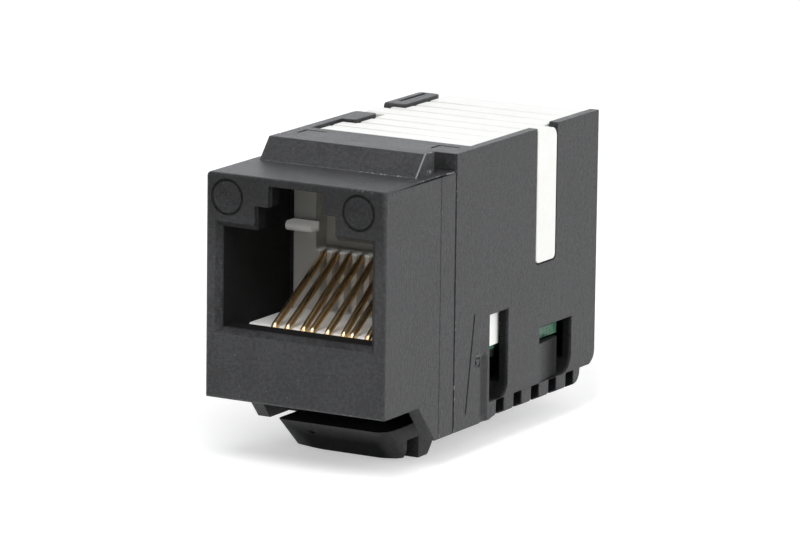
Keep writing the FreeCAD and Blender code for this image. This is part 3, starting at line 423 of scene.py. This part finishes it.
def mouldedPlastic(name, look):
    material, tree, shader = newMaterial(name)
    grain = placeGroup(tree, grainGroup, **{"Scale": look["grainScale"], "Speck Amount": look["specks"]})
    edgeMask = placeGroup(tree, wearAndHighlightGroup, Breakup=look["edgeBreakup"])
    mottle = mathNode(tree, "MULTIPLY", grain.outputs["Mottle"], look["mottle"])
    tone = mathNode(tree, "ADD", grain.outputs["Cloud"], mottle)
    middle = 0.5 + look["mottle"] * 0.5
    colour = mixColour(tree, rangeNode(tree, tone, middle - 0.2, middle + 0.2), look["dark"], look["pale"])
    specks = mathNode(tree, "MULTIPLY", grain.outputs["Specks"], look["speckStrength"])
    colour = mixColour(tree, specks, colour, look["speckColour"])
    # paler rounded edges: wear, and a painted highlight on them
    edge = mathNode(tree, "MULTIPLY", edgeMask.outputs["Edge"], look["edgeStrength"])
    colour = mixColour(tree, edge, colour, look["edgeWearAndHighlightColour"])
    low, high = look["roughness"]
    rough = rangeNode(tree, grain.outputs["Cloud"], 0.25, 0.75, low, high)
    # pale wear and painted highlights along given lines
    for start, stop, radius, cover, strength in look.get("scuffsAndHighlights", ()):
        run = Vector(stop) - Vector(start)
        values = {"Start": Vector(start) * mm, "Direction": run.normalized(), "Length": run.length * mm}
        paleLine = placeGroup(tree, scuffAndHighlightGroup, Radius=radius * mm, Cover=cover, **values)
        amount = mathNode(tree, "MULTIPLY", paleLine.outputs["Wear"], strength)
        colour = mixColour(tree, amount, colour, look["scuffAndHighlightColour"])
    dulled = []
    # painted shade: darker, rougher and without the plastic's sheen in these places
    for zone in look.get("paintedShadeZones", ()):
        inside = placeMask(tree, zone["where"])
        amount = mathNode(tree, "MULTIPLY", inside, zone["colour"])
        colour = mixColour(tree, amount, colour, look["paintedShadeColour"])
        rougher = mathNode(tree, "MULTIPLY", inside, zone["rougher"])
        rough = mathNode(tree, "ADD", rough, rougher, True)
        dulled.append(mathNode(tree, "MULTIPLY", inside, zone["dull"]))
    if dulled:
        # painted shade: a black metal there has none of the plastic's sheen, so the place reads as deep shade
        tree.links.new(strongest(tree, dulled), shader.inputs["Metallic"])
    paintedGlows = []
    # painted shade and painted light, the light given as a glow
    for zone in look.get("paintedShadeAndLightZones", ()):
        inside = placeMask(tree, zone["where"])
        if "shade" in zone:
            colour = mixColour(tree, inside, colour, zone["shade"])
        if "paintedGlow" in zone:
            paintedGlows.append(mathNode(tree, "MULTIPLY", inside, zone["paintedGlow"]))
    if paintedGlows:
        # painted light: a little light of their own, in places that the lamps leave too dark
        glow = mixColour(tree, strongest(tree, paintedGlows), (0, 0, 0), look["pale"])
        tree.links.new(glow, shader.inputs["Emission Color"])
        shader.inputs["Emission Strength"].default_value = 1.0
    if "sheen" in look:
        shader.inputs["Specular Tint"].default_value = (*look["sheen"], 1)
    tree.links.new(colour, shader.inputs["Base Color"])
    tree.links.new(rough, shader.inputs["Roughness"])
    shader.inputs["Subsurface Weight"].default_value = look.get("glow", 0.0)
    shader.inputs["Subsurface Radius"].default_value = (0.4 * mm, 0.4 * mm, 0.35 * mm)
    shader.inputs["Subsurface Scale"].default_value = 1.0
    height = grain.outputs["Height"]
    for across, up in look.get("roundMarks", ()):
        sizes = {"Across": across * mm, "Up": up * mm, "Radius": look["ringReach"] * mm}
        rings = placeGroup(tree, ringGroup, **sizes).outputs["Height"]
        height = mathNode(tree, "ADD", height, mathNode(tree, "MULTIPLY", rings, look["ringStrength"]))
    addBump(tree, shader, height, look["bumpDepth"])
    return material


plastics = {
    "blackMoulding": {
        "dark": (0.0015, 0.0015, 0.002),
        "pale": (0.022, 0.022, 0.024),
        "mottle": 2.2,
        "speckColour": (0.20, 0.20, 0.22),
        "edgeWearAndHighlightColour": (0.09, 0.09, 0.10),
        "roughness": (0.36, 0.46),
        "grainScale": 1.0,
        "specks": 0.3,
        "speckStrength": 0.6,
        "edgeStrength": 0.5,
        "edgeBreakup": 0.8,
        "bumpDepth": 0.15 * mm,
        "roundMarks": [(-5.5, 5.75), (5.1, 5.75)],  # X and Z in millimetres
        "ringStrength": 0.35,
        "ringReach": 1.17,  # radius of the turned rings in millimetres
        "sheen": (0.97, 0.98, 1.0),
        "paintedShadeColour": (0.0012, 0.0012, 0.0014),
        "scuffAndHighlightColour": (0.42, 0.44, 0.48),
    },
    "whiteMoulding": {
        "dark": (0.80, 0.80, 0.775),
        "pale": (0.86, 0.86, 0.84),
        "mottle": 0.5,
        "speckColour": (0.45, 0.44, 0.40),
        "edgeWearAndHighlightColour": (0.90, 0.90, 0.89),
        "roughness": (0.38, 0.48),
        "grainScale": 0.8,
        "specks": 0.03,
        "speckStrength": 0.5,
        "edgeStrength": 0.6,
        "edgeBreakup": 0.4,
        "bumpDepth": 0.006 * mm,
        "glow": 0.12,
    },
}
# Places, in millimetres, where shade is painted darker or light is painted lighter into a moulding's colour
# how much black metal the painted deep shade inside the shells gets, which takes the sheen away
deep = 0.52
housingLook = plastics["blackMoulding"] | {
    "paintedShadeZones": [
        # painted deep shade inside the housing
        {
            "where": {"Left": -7.22, "Right": 7.22, "Front": 0.45, "Back": 9.8, "Low": -8.6, "High": 7.0,
                      "Fade": 0.15, "Fade Up": 0.15},
            "colour": 1.0, "rougher": 0.4, "dull": deep,
        },
        {
            # painted shade: the upper part of the face turns darker and loses some sheen
            "where": {"Left": -7.3, "Right": 7.2, "Front": -1, "Back": 0.4, "Low": 0.5, "High": 20,
                      "Fade": 0.3, "Fade Up": 5.5},
            "colour": 0.6, "rougher": 0.0, "dull": 0.45,
        },
    ],
    # pale wear and painted highlights along edges: start, end, radius, share that shows, strength
    "scuffsAndHighlights": [
        ((-6.3, 5.68, 7.42), (6.3, 5.68, 7.42), 0.09, 0.8, 0.12),
        ((1.5, 5.68, 7.42), (6.3, 5.68, 7.42), 0.12, 0.35, 0.5),
        ((6.35, 5.7, 7.4), (6.35, 7.0, 8.93), 0.10, 1.0, 0.55),
        ((6.35, 7.0, 8.93), (6.35, 8.2, 8.93), 0.09, 0.6, 0.4),
        ((6.36, 6.9, 7.5), (6.36, 8.2, 7.5), 0.26, 0.4, 0.5),
        ((4.4, 0.1, 7.33), (6.6, 0.1, 7.33), 0.14, 0.45, 0.4),
        ((7.14, 4.6, 7.34), (7.14, 9.8, 7.34), 0.12, 0.5, 0.5),
        ((7.24, 0.0, -8.6), (7.24, 0.0, 7.2), 0.10, 0.3, 0.2),
        ((-7.1, 0.0, -8.64), (7.1, 0.0, -8.64), 0.12, 0.35, 0.35),
        ((7.25, 7.88, -13.0), (7.25, 7.88, 7.0), 0.08, 0.3, 0.3),
    ],
}
latchLook = plastics["blackMoulding"] | {
    "paintedShadeZones": [
        # painted shade under the hook, darker and without sheen
        {
            "where": {"Left": -4.7, "Right": 4.7, "Front": 4.5, "Back": 40, "Low": -15.5, "High": -10.5,
                      "Fade": 1.8, "Fade Up": 1.8},
            "colour": 1.0, "rougher": 0.4, "dull": 0.9,
        },
    ],
}
bodyLook = plastics["blackMoulding"] | {
    "paintedShadeZones": [
        # painted deep shade inside the body
        {
            "where": {"Left": -7.25, "Right": 7.25, "Front": 10.4, "Back": 30.8, "Low": -11.0, "High": 7.0,
                      "Fade": 0.3, "Fade Up": 0.3},
            "colour": 1.0, "rougher": 0.4, "dull": deep,
        },
        {
            # painted shade in the shallow band down each side
            "where": {"Left": -9, "Right": 9, "Front": 13.6, "Back": 14.9, "Low": -20, "High": -5.4,
                      "Fade": 0.3, "Fade Up": 0.1},
            "colour": 0.5, "rougher": 0.0, "dull": 0.08,
        },
        {
            # painted shade between the ribs
            "where": {"Start": 16.06, "Pitch": 2.6, "Width": 1.32, "Half": 7.26, "High": -10.1, "Fade": 0.12},
            "colour": 1.0, "rougher": 0.4, "dull": 0.75,
        },
    # pale wear and painted highlights along edges and on the gate's ring
    ],
    "scuffsAndHighlights": [
        ((7.25, 10.0, -12.5), (7.25, 10.0, -8.0), 0.10, 0.4, 0.4),
        ((7.25, 10.0, -8.0), (7.25, 10.0, 7.3), 0.08, 0.25, 0.25),
        ((7.25, 10.9, 8.58), (7.25, 21.6, 8.58), 0.10, 0.3, 0.25),
        ((7.25, 13.3, -7.5), (7.25, 13.3, -6.45), 0.55, 0.4, 0.4),
    ],
}
carrierLook = plastics["whiteMoulding"] | {
    "paintedShadeAndLightZones": [
        {
            # darker towards the top, in the shade of the housing
            "where": {"Left": -7, "Right": 7, "Front": 0, "Back": 14, "Low": -2.6, "High": 14,
                      "Fade": 0.5, "Fade Up": 5.0},
            "shade": (0.40, 0.40, 0.37),
        },
        {
            # painted shade in the recess
            "where": {"Left": -4.3, "Right": 4.3, "Front": 10.05, "Back": 13, "Low": 0.5, "High": 8,
                      "Fade": 0.1, "Fade Up": 0.2},
            "shade": (0.44, 0.43, 0.38),
        },
        {
            # painted light on the stop
            "where": {"Left": -7, "Right": 7, "Front": 5, "Back": 9.97, "Low": 1.75, "High": 3.5,
                      "Fade": 0.1, "Fade Up": 0.4},
            "paintedGlow": 0.16,
        },
        {
            # painted light on the comb's top
            "where": {"Left": -4.3, "Right": 4.3, "Front": 9.4, "Back": 10.9, "Low": 0.3, "High": 0.62,
                      "Fade": 0.5, "Fade Up": 0.1},
            "paintedGlow": 0.13,
        },
        {
            # painted light on the floor of the cavity
            "where": {"Left": -7, "Right": 7, "Front": 3, "Back": 10.5, "Low": -5, "High": -3.9,
                      "Fade": 0.8, "Fade Up": 0.04},
            "paintedGlow": 0.12,
        },
    ],
}
punchLook = plastics["whiteMoulding"] | {
    "paintedShadeAndLightZones": [
        {
            # painted light on the white beside the slim windows
            "where": {"Left": -7.3, "Right": 7.3, "Front": 13.3, "Back": 18, "Low": -9, "High": 0,
                      "Fade": 0.6, "Fade Up": 0.1},
            "paintedGlow": 0.42,
        },
    ],
}
metals = {
    "springGold": {
        "clean": (0.98, 0.73, 0.42),
        "stained": (0.70, 0.46, 0.22),
        "roughness": (0.22, 0.42),
        "alongX": 1.0,
        "alongZ": 0.03,
        "streaks": 0.5,
        "streakColour": (0.15, 0.08, 0.03),
        "edgeBreakup": 0.3,
        "edgeStrength": 0.4,
        "bumpDepth": 0.0008 * mm,
    },
    "bladeTin": {
        "clean": (0.72, 0.71, 0.68),
        "stained": (0.55, 0.54, 0.50),
        "roughness": (0.24, 0.42),
        "alongX": 1.0,
        "alongZ": 1.0,
        "streaks": 0.3,
        "streakColour": (0.34, 0.33, 0.30),
        "edgeBreakup": 0.3,
        "edgeStrength": 0.4,
        "bumpDepth": 0.002 * mm,
    },
}


def drawnMetal(name, look):
    material, tree, shader = newMaterial(name)
    lines = placeGroup(tree, linesGroup, **{"Along X": look["alongX"], "Along Z": look["alongZ"]})
    edgeMask = placeGroup(tree, wearAndHighlightGroup, Breakup=look["edgeBreakup"])
    stain = rangeNode(tree, lines.outputs["Stain"], 0.4, 0.72)
    colour = mixColour(tree, stain, look["clean"], look["stained"])
    edge = mathNode(tree, "MULTIPLY", edgeMask.outputs["Edge"], look["edgeStrength"])
    colour = mixColour(tree, edge, colour, look["clean"])
    streaks = rangeNode(tree, lines.outputs["Lines"], 0.48, 0.62)
    streaks = mathNode(tree, "MULTIPLY", streaks, look["streaks"])
    colour = mixColour(tree, streaks, colour, look["streakColour"])
    tree.links.new(colour, shader.inputs["Base Color"])
    shader.inputs["Metallic"].default_value = 1.0
    rough = rangeNode(tree, lines.outputs["Lines"], 0.3, 0.7, *look["roughness"])
    tree.links.new(rough, shader.inputs["Roughness"])
    addBump(tree, shader, lines.outputs["Lines"], look["bumpDepth"])
    return material


boardLook = {
    "lacquer": (0.045, 0.13, 0.085),
    "overTrack": (0.075, 0.19, 0.125),
    "trackSize": 2.4 * mm,
    "weave": 0.55 * mm,
    "weaveColour": (0.10, 0.30, 0.17),
    "soilSize": 0.35 * mm,
    "soilColour": (0.02, 0.035, 0.03),
    "bumpDepth": 0.006 * mm,
    "shadeColour": (0.002, 0.004, 0.004),
    "shaded": {"Left": 5.8, "Right": 7, "Front": 10, "Back": 17.6, "Low": -8, "High": -6.72,
               "Fade": 0.1, "Fade Up": 0.1},
}


def boardMaterial():
    # Green lacquer over glass cloth, paler where a copper track lies below
    material, tree, shader = newMaterial("boardLacquer")
    place = objectPlace(tree)
    axes = axesOf(tree, place)
    waves = []
    for label in ("X", "Y"):
        turned = mathNode(tree, "MULTIPLY", axes[label], math.tau / boardLook["weave"])
        waves.append(mathNode(tree, "SINE", turned))
    weave = rangeNode(tree, mathNode(tree, "MULTIPLY", *waves), -1, 1)
    cells = tree.nodes.new("ShaderNodeTexVoronoi")
    cells.feature = "DISTANCE_TO_EDGE"
    cells.inputs["Scale"].default_value = 1 / boardLook["trackSize"]
    cells.inputs["Randomness"].default_value = 0.6
    tree.links.new(place, cells.inputs["Vector"])
    track = rangeNode(tree, cells.outputs["Distance"], 0.1, 0.13)
    colour = mixColour(tree, track, boardLook["overTrack"], boardLook["lacquer"])
    colour = mixColour(tree, mathNode(tree, "MULTIPLY", weave, 0.25), colour, boardLook["weaveColour"])
    colour = mixColour(tree, placeMask(tree, boardLook["shaded"]), colour, boardLook["shadeColour"])
    soil = rangeNode(tree, plainNoise(tree, place, boardLook["soilSize"], 4), 0.55, 0.7)
    colour = mixColour(tree, soil, colour, boardLook["soilColour"])
    tree.links.new(colour, shader.inputs["Base Color"])
    tree.links.new(rangeNode(tree, weave, 0, 1, 0.28, 0.42), shader.inputs["Roughness"])
    height = mathNode(tree, "ADD", weave, mathNode(tree, "MULTIPLY", track, -2.0))
    addBump(tree, shader, height, boardLook["bumpDepth"])
    return material


# Mesh helpers: a part is taken from the frame, carved, and its edges are rounded off
weld = 0.0005 * mm  # points nearer to each other than this are one
# where X, Y and Z lie in (first, second, along)
axisOrder = {"X": (2, 0, 1), "Y": (0, 2, 1), "Z": (0, 1, 2)}


def startMesh(node):
    work = bmesh.new()
    work.from_mesh(nodes[node].data)
    bmesh.ops.remove_doubles(work, verts=work.verts, dist=weld)
    flatten(work)
    mesh = bpy.data.meshes.new(node)
    work.to_mesh(mesh)
    work.free()
    return mesh


def flatten(work):
    # Joins the triangles of each flat face
    bmesh.ops.dissolve_limit(
        work, angle_limit=math.radians(0.4), use_dissolve_boundaries=False, verts=work.verts, edges=work.edges
    )


def divide(work, point, across):
    # Cuts every face along a plane and keeps both sides
    parts = work.verts[:] + work.edges[:] + work.faces[:]
    bmesh.ops.bisect_plane(work, geom=parts, dist=0.0001 * mm, plane_co=point, plane_no=across)


def between(lowEnd, highEnd):
    # A solid between two outlines with as many points each, in millimetres
    work = bmesh.new()
    low, high = [], []
    for ring, outline in ((low, lowEnd), (high, highEnd)):
        ring.extend(work.verts.new([value * mm for value in point]) for point in outline)
    work.faces.new(low)
    work.faces.new(high)
    for place in range(len(low)):
        after = (place + 1) % len(low)
        work.faces.new((low[place], low[after], high[after], high[place]))
    bmesh.ops.recalc_face_normals(work, faces=work.faces)
    return toolMesh(work)


def prism(outline, axis, low, high):
    # A solid with this outline that runs from low to high along an axis
    order = axisOrder[axis]
    ends = []
    for level in (low, high):
        ends.append([[(*point, level)[place] for place in order] for point in outline])
    return between(*ends)


def lathe(profile, centre, axis, steps=48):
    # A solid turned round an axis through centre; the profile is (radius, height) in millimetres
    order = axisOrder[axis]
    work = bmesh.new()
    rings = []
    for step in range(steps):
        angle = math.tau * step / steps
        ring = []
        for radius, height in profile:
            point = (radius * math.cos(angle), radius * math.sin(angle), height)
            ring.append(work.verts.new([point[order[k]] * mm + centre[k] * mm for k in range(3)]))
        rings.append(ring)
    count = len(profile)
    for step in range(steps):
        here, there = rings[step], rings[(step + 1) % steps]
        for place in range(count):
            after = (place + 1) % count
            work.faces.new((here[place], here[after], there[after], there[place]))
    bmesh.ops.remove_doubles(work, verts=work.verts, dist=0.0002 * mm)
    bmesh.ops.recalc_face_normals(work, faces=work.faces)
    return toolMesh(work)


def arc(centre, radius, start, stop, steps):
    for step in range(steps + 1):
        angle = math.radians(start + (stop - start) * step / steps)
        yield centre[0] + radius * math.cos(angle), centre[1] + radius * math.sin(angle)


def toolMesh(work):
    mesh = bpy.data.meshes.new("tool")
    work.to_mesh(mesh)
    work.free()
    return mesh


def carved(mesh, tools):
    # Each tool is (mesh, "cut" or "add"); the result is a new mesh
    made = []
    body = link(bpy.data.objects.new("carving", mesh))
    for tool, action in tools:
        helper = link(bpy.data.objects.new("tool", tool))
        change = body.modifiers.new("change", "BOOLEAN")
        change.operation = "DIFFERENCE" if action == "cut" else "UNION"
        change.solver = "EXACT"
        change.object = helper
        made.append(helper)
    bpy.context.view_layer.update()
    result = bpy.data.meshes.new_from_object(body.evaluated_get(bpy.context.evaluated_depsgraph_get()))
    for helper in [body] + made:
        bpy.data.objects.remove(helper)
    return result


def softened(mesh, offset, kept=(), splits=()):
    # Rounds every sharp edge and marks the rounded faces for the edge wear and painted edge highlight;
    # edges within a kept (centre, half sizes) box, in millimetres, stay as they are;
    # splits are (axis, place) where faces with holes are divided into plain ones
    work = bmesh.new()
    work.from_mesh(mesh)
    bmesh.ops.remove_doubles(work, verts=work.verts, dist=weld)
    flatten(work)
    for axis, place in splits:
        across = Vector([float(axis == label) for label in "XYZ"])
        divide(work, across * place * mm, across)
    limit = math.radians(marks["sharpFrom"])
    zones = [(Vector(centre) * mm, Vector(half) * mm) for centre, half in kept]
    edges = []
    for edge in work.edges:
        sharpEnough = len(edge.link_faces) == 2 and edge.calc_face_angle(0) > limit
        middle = (edge.verts[0].co + edge.verts[1].co) / 2
        inside = any(all(abs(d) < h for d, h in zip(middle - centre, half)) for centre, half in zones)
        if sharpEnough and not inside:
            edges.append(edge)
    made = bmesh.ops.bevel(
        work, geom=edges, offset=offset, offset_type="OFFSET", segments=marks["roundSteps"], profile=0.5,
        affect="EDGES", clamp_overlap=False, loop_slide=True, miter_outer="SHARP",
    )
    rounded = set(made["faces"])
    mark = work.faces.layers.float.new("edge")
    for face in work.faces:
        face[mark] = 1.0 if face in rounded else 0.0
        face.smooth = True
    out = bpy.data.meshes.new(mesh.name)
    work.to_mesh(out)
    work.free()
    return out


def addPiece(name, mesh, material, body, node):
    piece = link(bpy.data.objects.new(name, mesh))
    mesh.name = name
    mesh.materials.clear()
    mesh.materials.append(material)
    shade = piece.modifiers.new("flatFaces", "WEIGHTED_NORMAL")
    shade.weight = 100
    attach(piece, body)
    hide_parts(node)


grainGroup = makeGrain()
ringGroup = makeRingMarks()
boxGroup = makeBoxMask()
gapGroup = makeGapMask()
scuffAndHighlightGroup = makeScuffAndHighlightLine()
wearAndHighlightGroup = makeEdgeWear()
linesGroup = makeDrawLines()
housingMoulding = mouldedPlastic("housingMoulding", housingLook)
latchMoulding = mouldedPlastic("latchMoulding", latchLook)
bodyMoulding = mouldedPlastic("bodyMoulding", bodyLook)
carrierMoulding = mouldedPlastic("carrierMoulding", carrierLook)
punchMoulding = mouldedPlastic("punchMoulding", punchLook)
whiteMoulding = mouldedPlastic("whiteMoulding", plastics["whiteMoulding"])
springGold = drawnMetal("springGold", metals["springGold"])
bladeTin = drawnMetal("bladeTin", metals["bladeTin"])
boardLacquer = boardMaterial()
print("materials built")

makeCamera()
makeStudio()
print("camera and studio built")

marks = {
    # in millimetres and degrees
    "sharpFrom": 28,  # edges that turn by more than this are rounded
    "roundSteps": 2,
    "splits": {"rear_body": [("Y", 13.3), ("Y", 15.9), ("Y", 23.6), ("Z", -10.62), ("Z", -5.0)]},
    # edges within this centre and half size stay sharp: the strip above the gaps is too thin for a rounding
    "thinStrip": ((0, 22, -10.21), (8, 9, 0.06)),
    "ring": (1.12, 1.32, 0.15),  # inner radius, outer radius, depth
    "partingAt": 7.8,
    "partingHalf": 0.14,  # measured 0.1 outside the side, where the groove is widest
    "partingDeep": 0.04,
    "bandAt": 14.2,  # shallow hollow down the side of the body
    "bandRadius": 1.7,
    "bandDeep": 0.1,
    "bandTop": -5.4,
    "bandRound": 1.4,  # height of the hollow's rounded upper end
    "gateAt": (13.3, -6.98),
    "gateRing": [(0.2, -0.3), (0.42, -0.3), (0.42, 0.05), (0.31, 0.1), (0.2, 0.05)],  # radius and depth
    "gateKept": 0.55,
    "ribsFrom": 16.9,  # the ribs under the body start behind this
    "ribRoot": -10.5,  # height where they begin to reach lower, and how far below it in full
    "ribRun": 0.5,
    "ribDrop": 0.3,
    "ribHalf": 6.6,
    "padTop": 8.58,
    "padWide": 1.85,
    # place of each rounded pad end along Y, its side, and the rounding along Y and Z
    "padEnds": [(21.65, 1, 1.5, 0.45), (24.65, -1, 0.3, 0.3), (30.9, 1, 1.3, 0.4)],
    "slope": [(5.2, -10.92), (7.832, -13.27)],  # top and lower end of the hook's slope, Y and Z
    "slopeHalf": 4.45,
    "slopeRound": {1: 0.9, -1: 0.35},  # rounding of its right and left end
    "pitAt": (-2.15, 6.2, -11.83),
    "pit": [(-0.6, -0.35, 0.12), (0.55, -0.35, 0.02), (0.05, 0.05, -0.62), (0, 0.42, 0.1)],  # from pitAt
    "pitKept": 0.9,
    "bladeRound": 0.03,
}
over = 0.1  # how far a cutter stands out of what it cuts, in millimetres


def faceMarks():
    # Plain rings sunk into the face, and the parting line of the mould down both sides
    tools, kept = [], []
    inner, outer, deep = marks["ring"]
    shallow, middle = deep * 0.6, (inner + outer) / 2
    profile = [(inner, -0.2), (outer, -0.2), (outer, shallow), (middle, deep), (inner, shallow)]
    for across, up in plastics["blackMoulding"]["roundMarks"]:
        tools.append((lathe(profile, (across, 0, up), "Y"), "cut"))
        kept.append(((across, 0, up), [outer + over] * 3))
    half = cadBox[1][0] / mm
    line, wide = marks["partingAt"], marks["partingHalf"]
    for side in (-1, 1):
        outside = side * (half + over)
        strip = [(outside, line - wide), (side * (half - marks["partingDeep"]), line), (outside, line + wide)]
        tools.append((prism(strip, "Z", -20, 20), "cut"))
    return tools, kept


def lowerRibs(mesh):
    # The ribs under the body reach a little lower between their slanted outer edges
    work = bmesh.new()
    work.from_mesh(mesh)
    for side in (-1, 1):
        divide(work, (side * marks["ribHalf"] * mm, 0, 0), (side, 0, 0))
    for vert in work.verts:
        if abs(vert.co.x) <= (marks["ribHalf"] + 0.001) * mm and vert.co.y > marks["ribsFrom"] * mm:
            share = (marks["ribRoot"] * mm - vert.co.z) / (marks["ribRun"] * mm)
            vert.co.z -= marks["ribDrop"] * mm * min(max(share, 0), 1)
    work.to_mesh(mesh)
    work.free()
    return mesh


def sideMarks():
    # A hollow band and the ring left by the gate on both sides of the body, and the pads' rounded ends
    tools, kept = [], [marks["thinStrip"]]
    half = cadBox[1][0] / mm
    radius, tall = marks["bandRadius"], marks["bandRound"]
    low = cadBox[0][2] / mm - 1
    top = marks["bandTop"] - tall
    profile = [(0, low), (radius, low), (radius, top)]
    profile += [(radius * math.cos(turn), top + tall * math.sin(turn)) for turn in (0.35, 0.7, 1.05, 1.3)]
    profile.append((0, marks["bandTop"]))
    deep, up = marks["gateAt"]
    for side in (-1, 1):
        middle = side * (half + radius - marks["bandDeep"])
        tools.append((lathe(profile, (middle, marks["bandAt"], 0), "Z", 96), "cut"))
        ring = [(reach, side * (half - height)) for reach, height in marks["gateRing"]]
        tools.append((lathe(ring, (0, deep, up), "X", 32), "cut"))
        kept.append(((side * half, deep, up), [marks["gateKept"]] * 3))
    top = marks["padTop"]
    for end, side, run, drop in marks["padEnds"]:
        outline = []
        for turn in [math.radians(15 * step) for step in range(7)]:
            outline.append((end - side * run * (1 - math.sin(turn)), top - drop * (1 - math.cos(turn))))
        past, above = end + side * over, top + 0.2
        outline += [(past, top - drop), (past, above), (end - side * run, above)]
        tools.append((prism(outline, "X", -half - over, -half + marks["padWide"]), "cut"))
    return tools, kept


def slopeCutter(side):
    # Takes the corner off one end of the hook's slope, along an arc
    (topY, topZ), (lowY, lowZ) = marks["slope"]
    length = math.hypot(lowY - topY, lowZ - topZ)
    along = ((lowY - topY) / length, (lowZ - topZ) / length)
    out = (along[1], -along[0])
    half, radius = marks["slopeHalf"], marks["slopeRound"][side]
    profile = [(half - radius + x, y - radius) for x, y in arc((0, 0), radius, 90, 0, 8)]
    profile += [(half + 0.4, -radius), (half + 0.4, 0.4), (half - radius, 0.4)]
    ends = []
    for reach in (-1.2, length + 1.2):
        end = []
        for across, height in profile:
            y = topY + out[0] * height + along[0] * reach
            z = topZ + out[1] * height + along[1] * reach
            end.append((side * across, y, z))
        ends.append(end)
    return between(*ends)


def latchMarks():
    # Rounded ends of the hook's slope and a small three-sided pit in it
    pit = marks["pitAt"]
    work = bmesh.new()
    points = []
    for corner in marks["pit"]:
        points.append(work.verts.new([(start + away) * mm for start, away in zip(pit, corner)]))
    for trio in ((0, 1, 2), (0, 1, 3), (1, 2, 3), (0, 2, 3)):
        work.faces.new([points[place] for place in trio])
    bmesh.ops.recalc_face_normals(work, faces=work.faces)
    tools = [(toolMesh(work), "cut"), (slopeCutter(1), "cut"), (slopeCutter(-1), "cut")]
    return tools, [(pit, [marks["pitKept"]] * 3)]


# name, CAD node, edge rounding in millimetres, material, body, slot, further carving
shells = [
    ("housing_shell", "front_housing", 0.05, housingMoulding, "jack", "black_plastic", faceMarks),
    ("latch_arm", "panel_latch", 0.06, latchMoulding, "latch", "black_plastic", latchMarks),
    ("body_shell", "rear_body", 0.05, bodyMoulding, "jack", "black_plastic", sideMarks),
    ("carrier_block", "contact_carrier", 0.04, carrierMoulding, "jack", "white_plastic", None),
    ("punch_block", "idc_block", 0.06, punchMoulding, "jack", "white_plastic", None),
    ("cap_shell", "wire_cap", 0.05, whiteMoulding, "cap", "white_plastic", None),
    ("board_plate", "circuit_board", 0.04, boardLacquer, "jack", "board_green", None),
]
for name, node, rounding, material, body, slot, carving in shells:
    mesh, kept = startMesh(node), ()
    if node == "rear_body":
        mesh = lowerRibs(mesh)
    if carving:
        tools, kept = carving()
        mesh = carved(mesh, tools)
    mesh = softened(mesh, rounding * mm, kept, marks["splits"].get(node, ()))
    addPiece(name, mesh, material, body, node)
    print("built", name, len(mesh.polygons))
for number in range(1, 9):
    mesh = softened(startMesh(f"idc_contact_{number}"), marks["bladeRound"] * mm)
    addPiece(f"blade_{number}", mesh, bladeTin, "jack", f"idc_contact_{number}")

wire = {
    # in millimetres and degrees
    "width": 0.52,
    "pitch": 1.02,
    "tipDeep": 10.25,
    "bendDeep": 4.2,
    "bendUp": -4.2,
    "bendRadius": 0.49,
    "rise": 32.6,
    "fan": 0.6,  # lean from one wire to the next
    "pair": 1.75,  # lean of a wire towards its partner
    "pairs": [0, 0, 1, -1, 0, 1, -1, 0],  # which way each wire leans
    "legFirst": 11.3,
    "legStep": 0.9,
    "legBend": 0.45,
    "legEnd": -7.85,
}


def springWire(number):
    rise = math.radians(wire["rise"])
    bend = (wire["bendDeep"], wire["bendUp"])
    radius = wire["bendRadius"]
    startY = bend[0] - radius * math.sin(rise)
    startZ = bend[1] + radius * math.cos(rise)
    legY = wire["legFirst"] + wire["legStep"] * (number % 2)
    lowZ = bend[1] - radius
    points = [(wire["tipDeep"], startZ + (wire["tipDeep"] - startY) * math.tan(rise))]
    points += list(arc(bend, radius, wire["rise"] + 90, 270, 18))
    points += list(arc((legY - wire["legBend"], lowZ - wire["legBend"]), wire["legBend"], 90, 0, 8))
    points.append((legY, wire["legEnd"]))
    centre = (len(wire["pairs"]) - 1) / 2
    lean = math.radians(wire["fan"] * (number - centre) + wire["pair"] * wire["pairs"][number])
    tipX = wire["pitch"] * (number - centre)
    curve = bpy.data.curves.new("wire", "CURVE")
    curve.dimensions = "3D"
    curve.bevel_depth = wire["width"] / 2 * mm
    curve.bevel_resolution = 5
    curve.use_fill_caps = True
    line = curve.splines.new("POLY")
    line.points.add(len(points) - 1)
    for place, (deep, up) in enumerate(points):
        back = wire["tipDeep"] - deep
        x = tipX + back * math.sin(lean)
        y = wire["tipDeep"] - back * math.cos(lean)
        line.points[place].co = (x * mm, y * mm, up * mm, 1)
    return curve


for number in range(8):
    curve = springWire(number)
    curve.materials.append(springGold)
    piece = link(bpy.data.objects.new(f"spring_wire_{number + 1}", curve))
    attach(piece, "jack")
    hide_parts(f"contact_{number + 1}")
print("spring wires built")
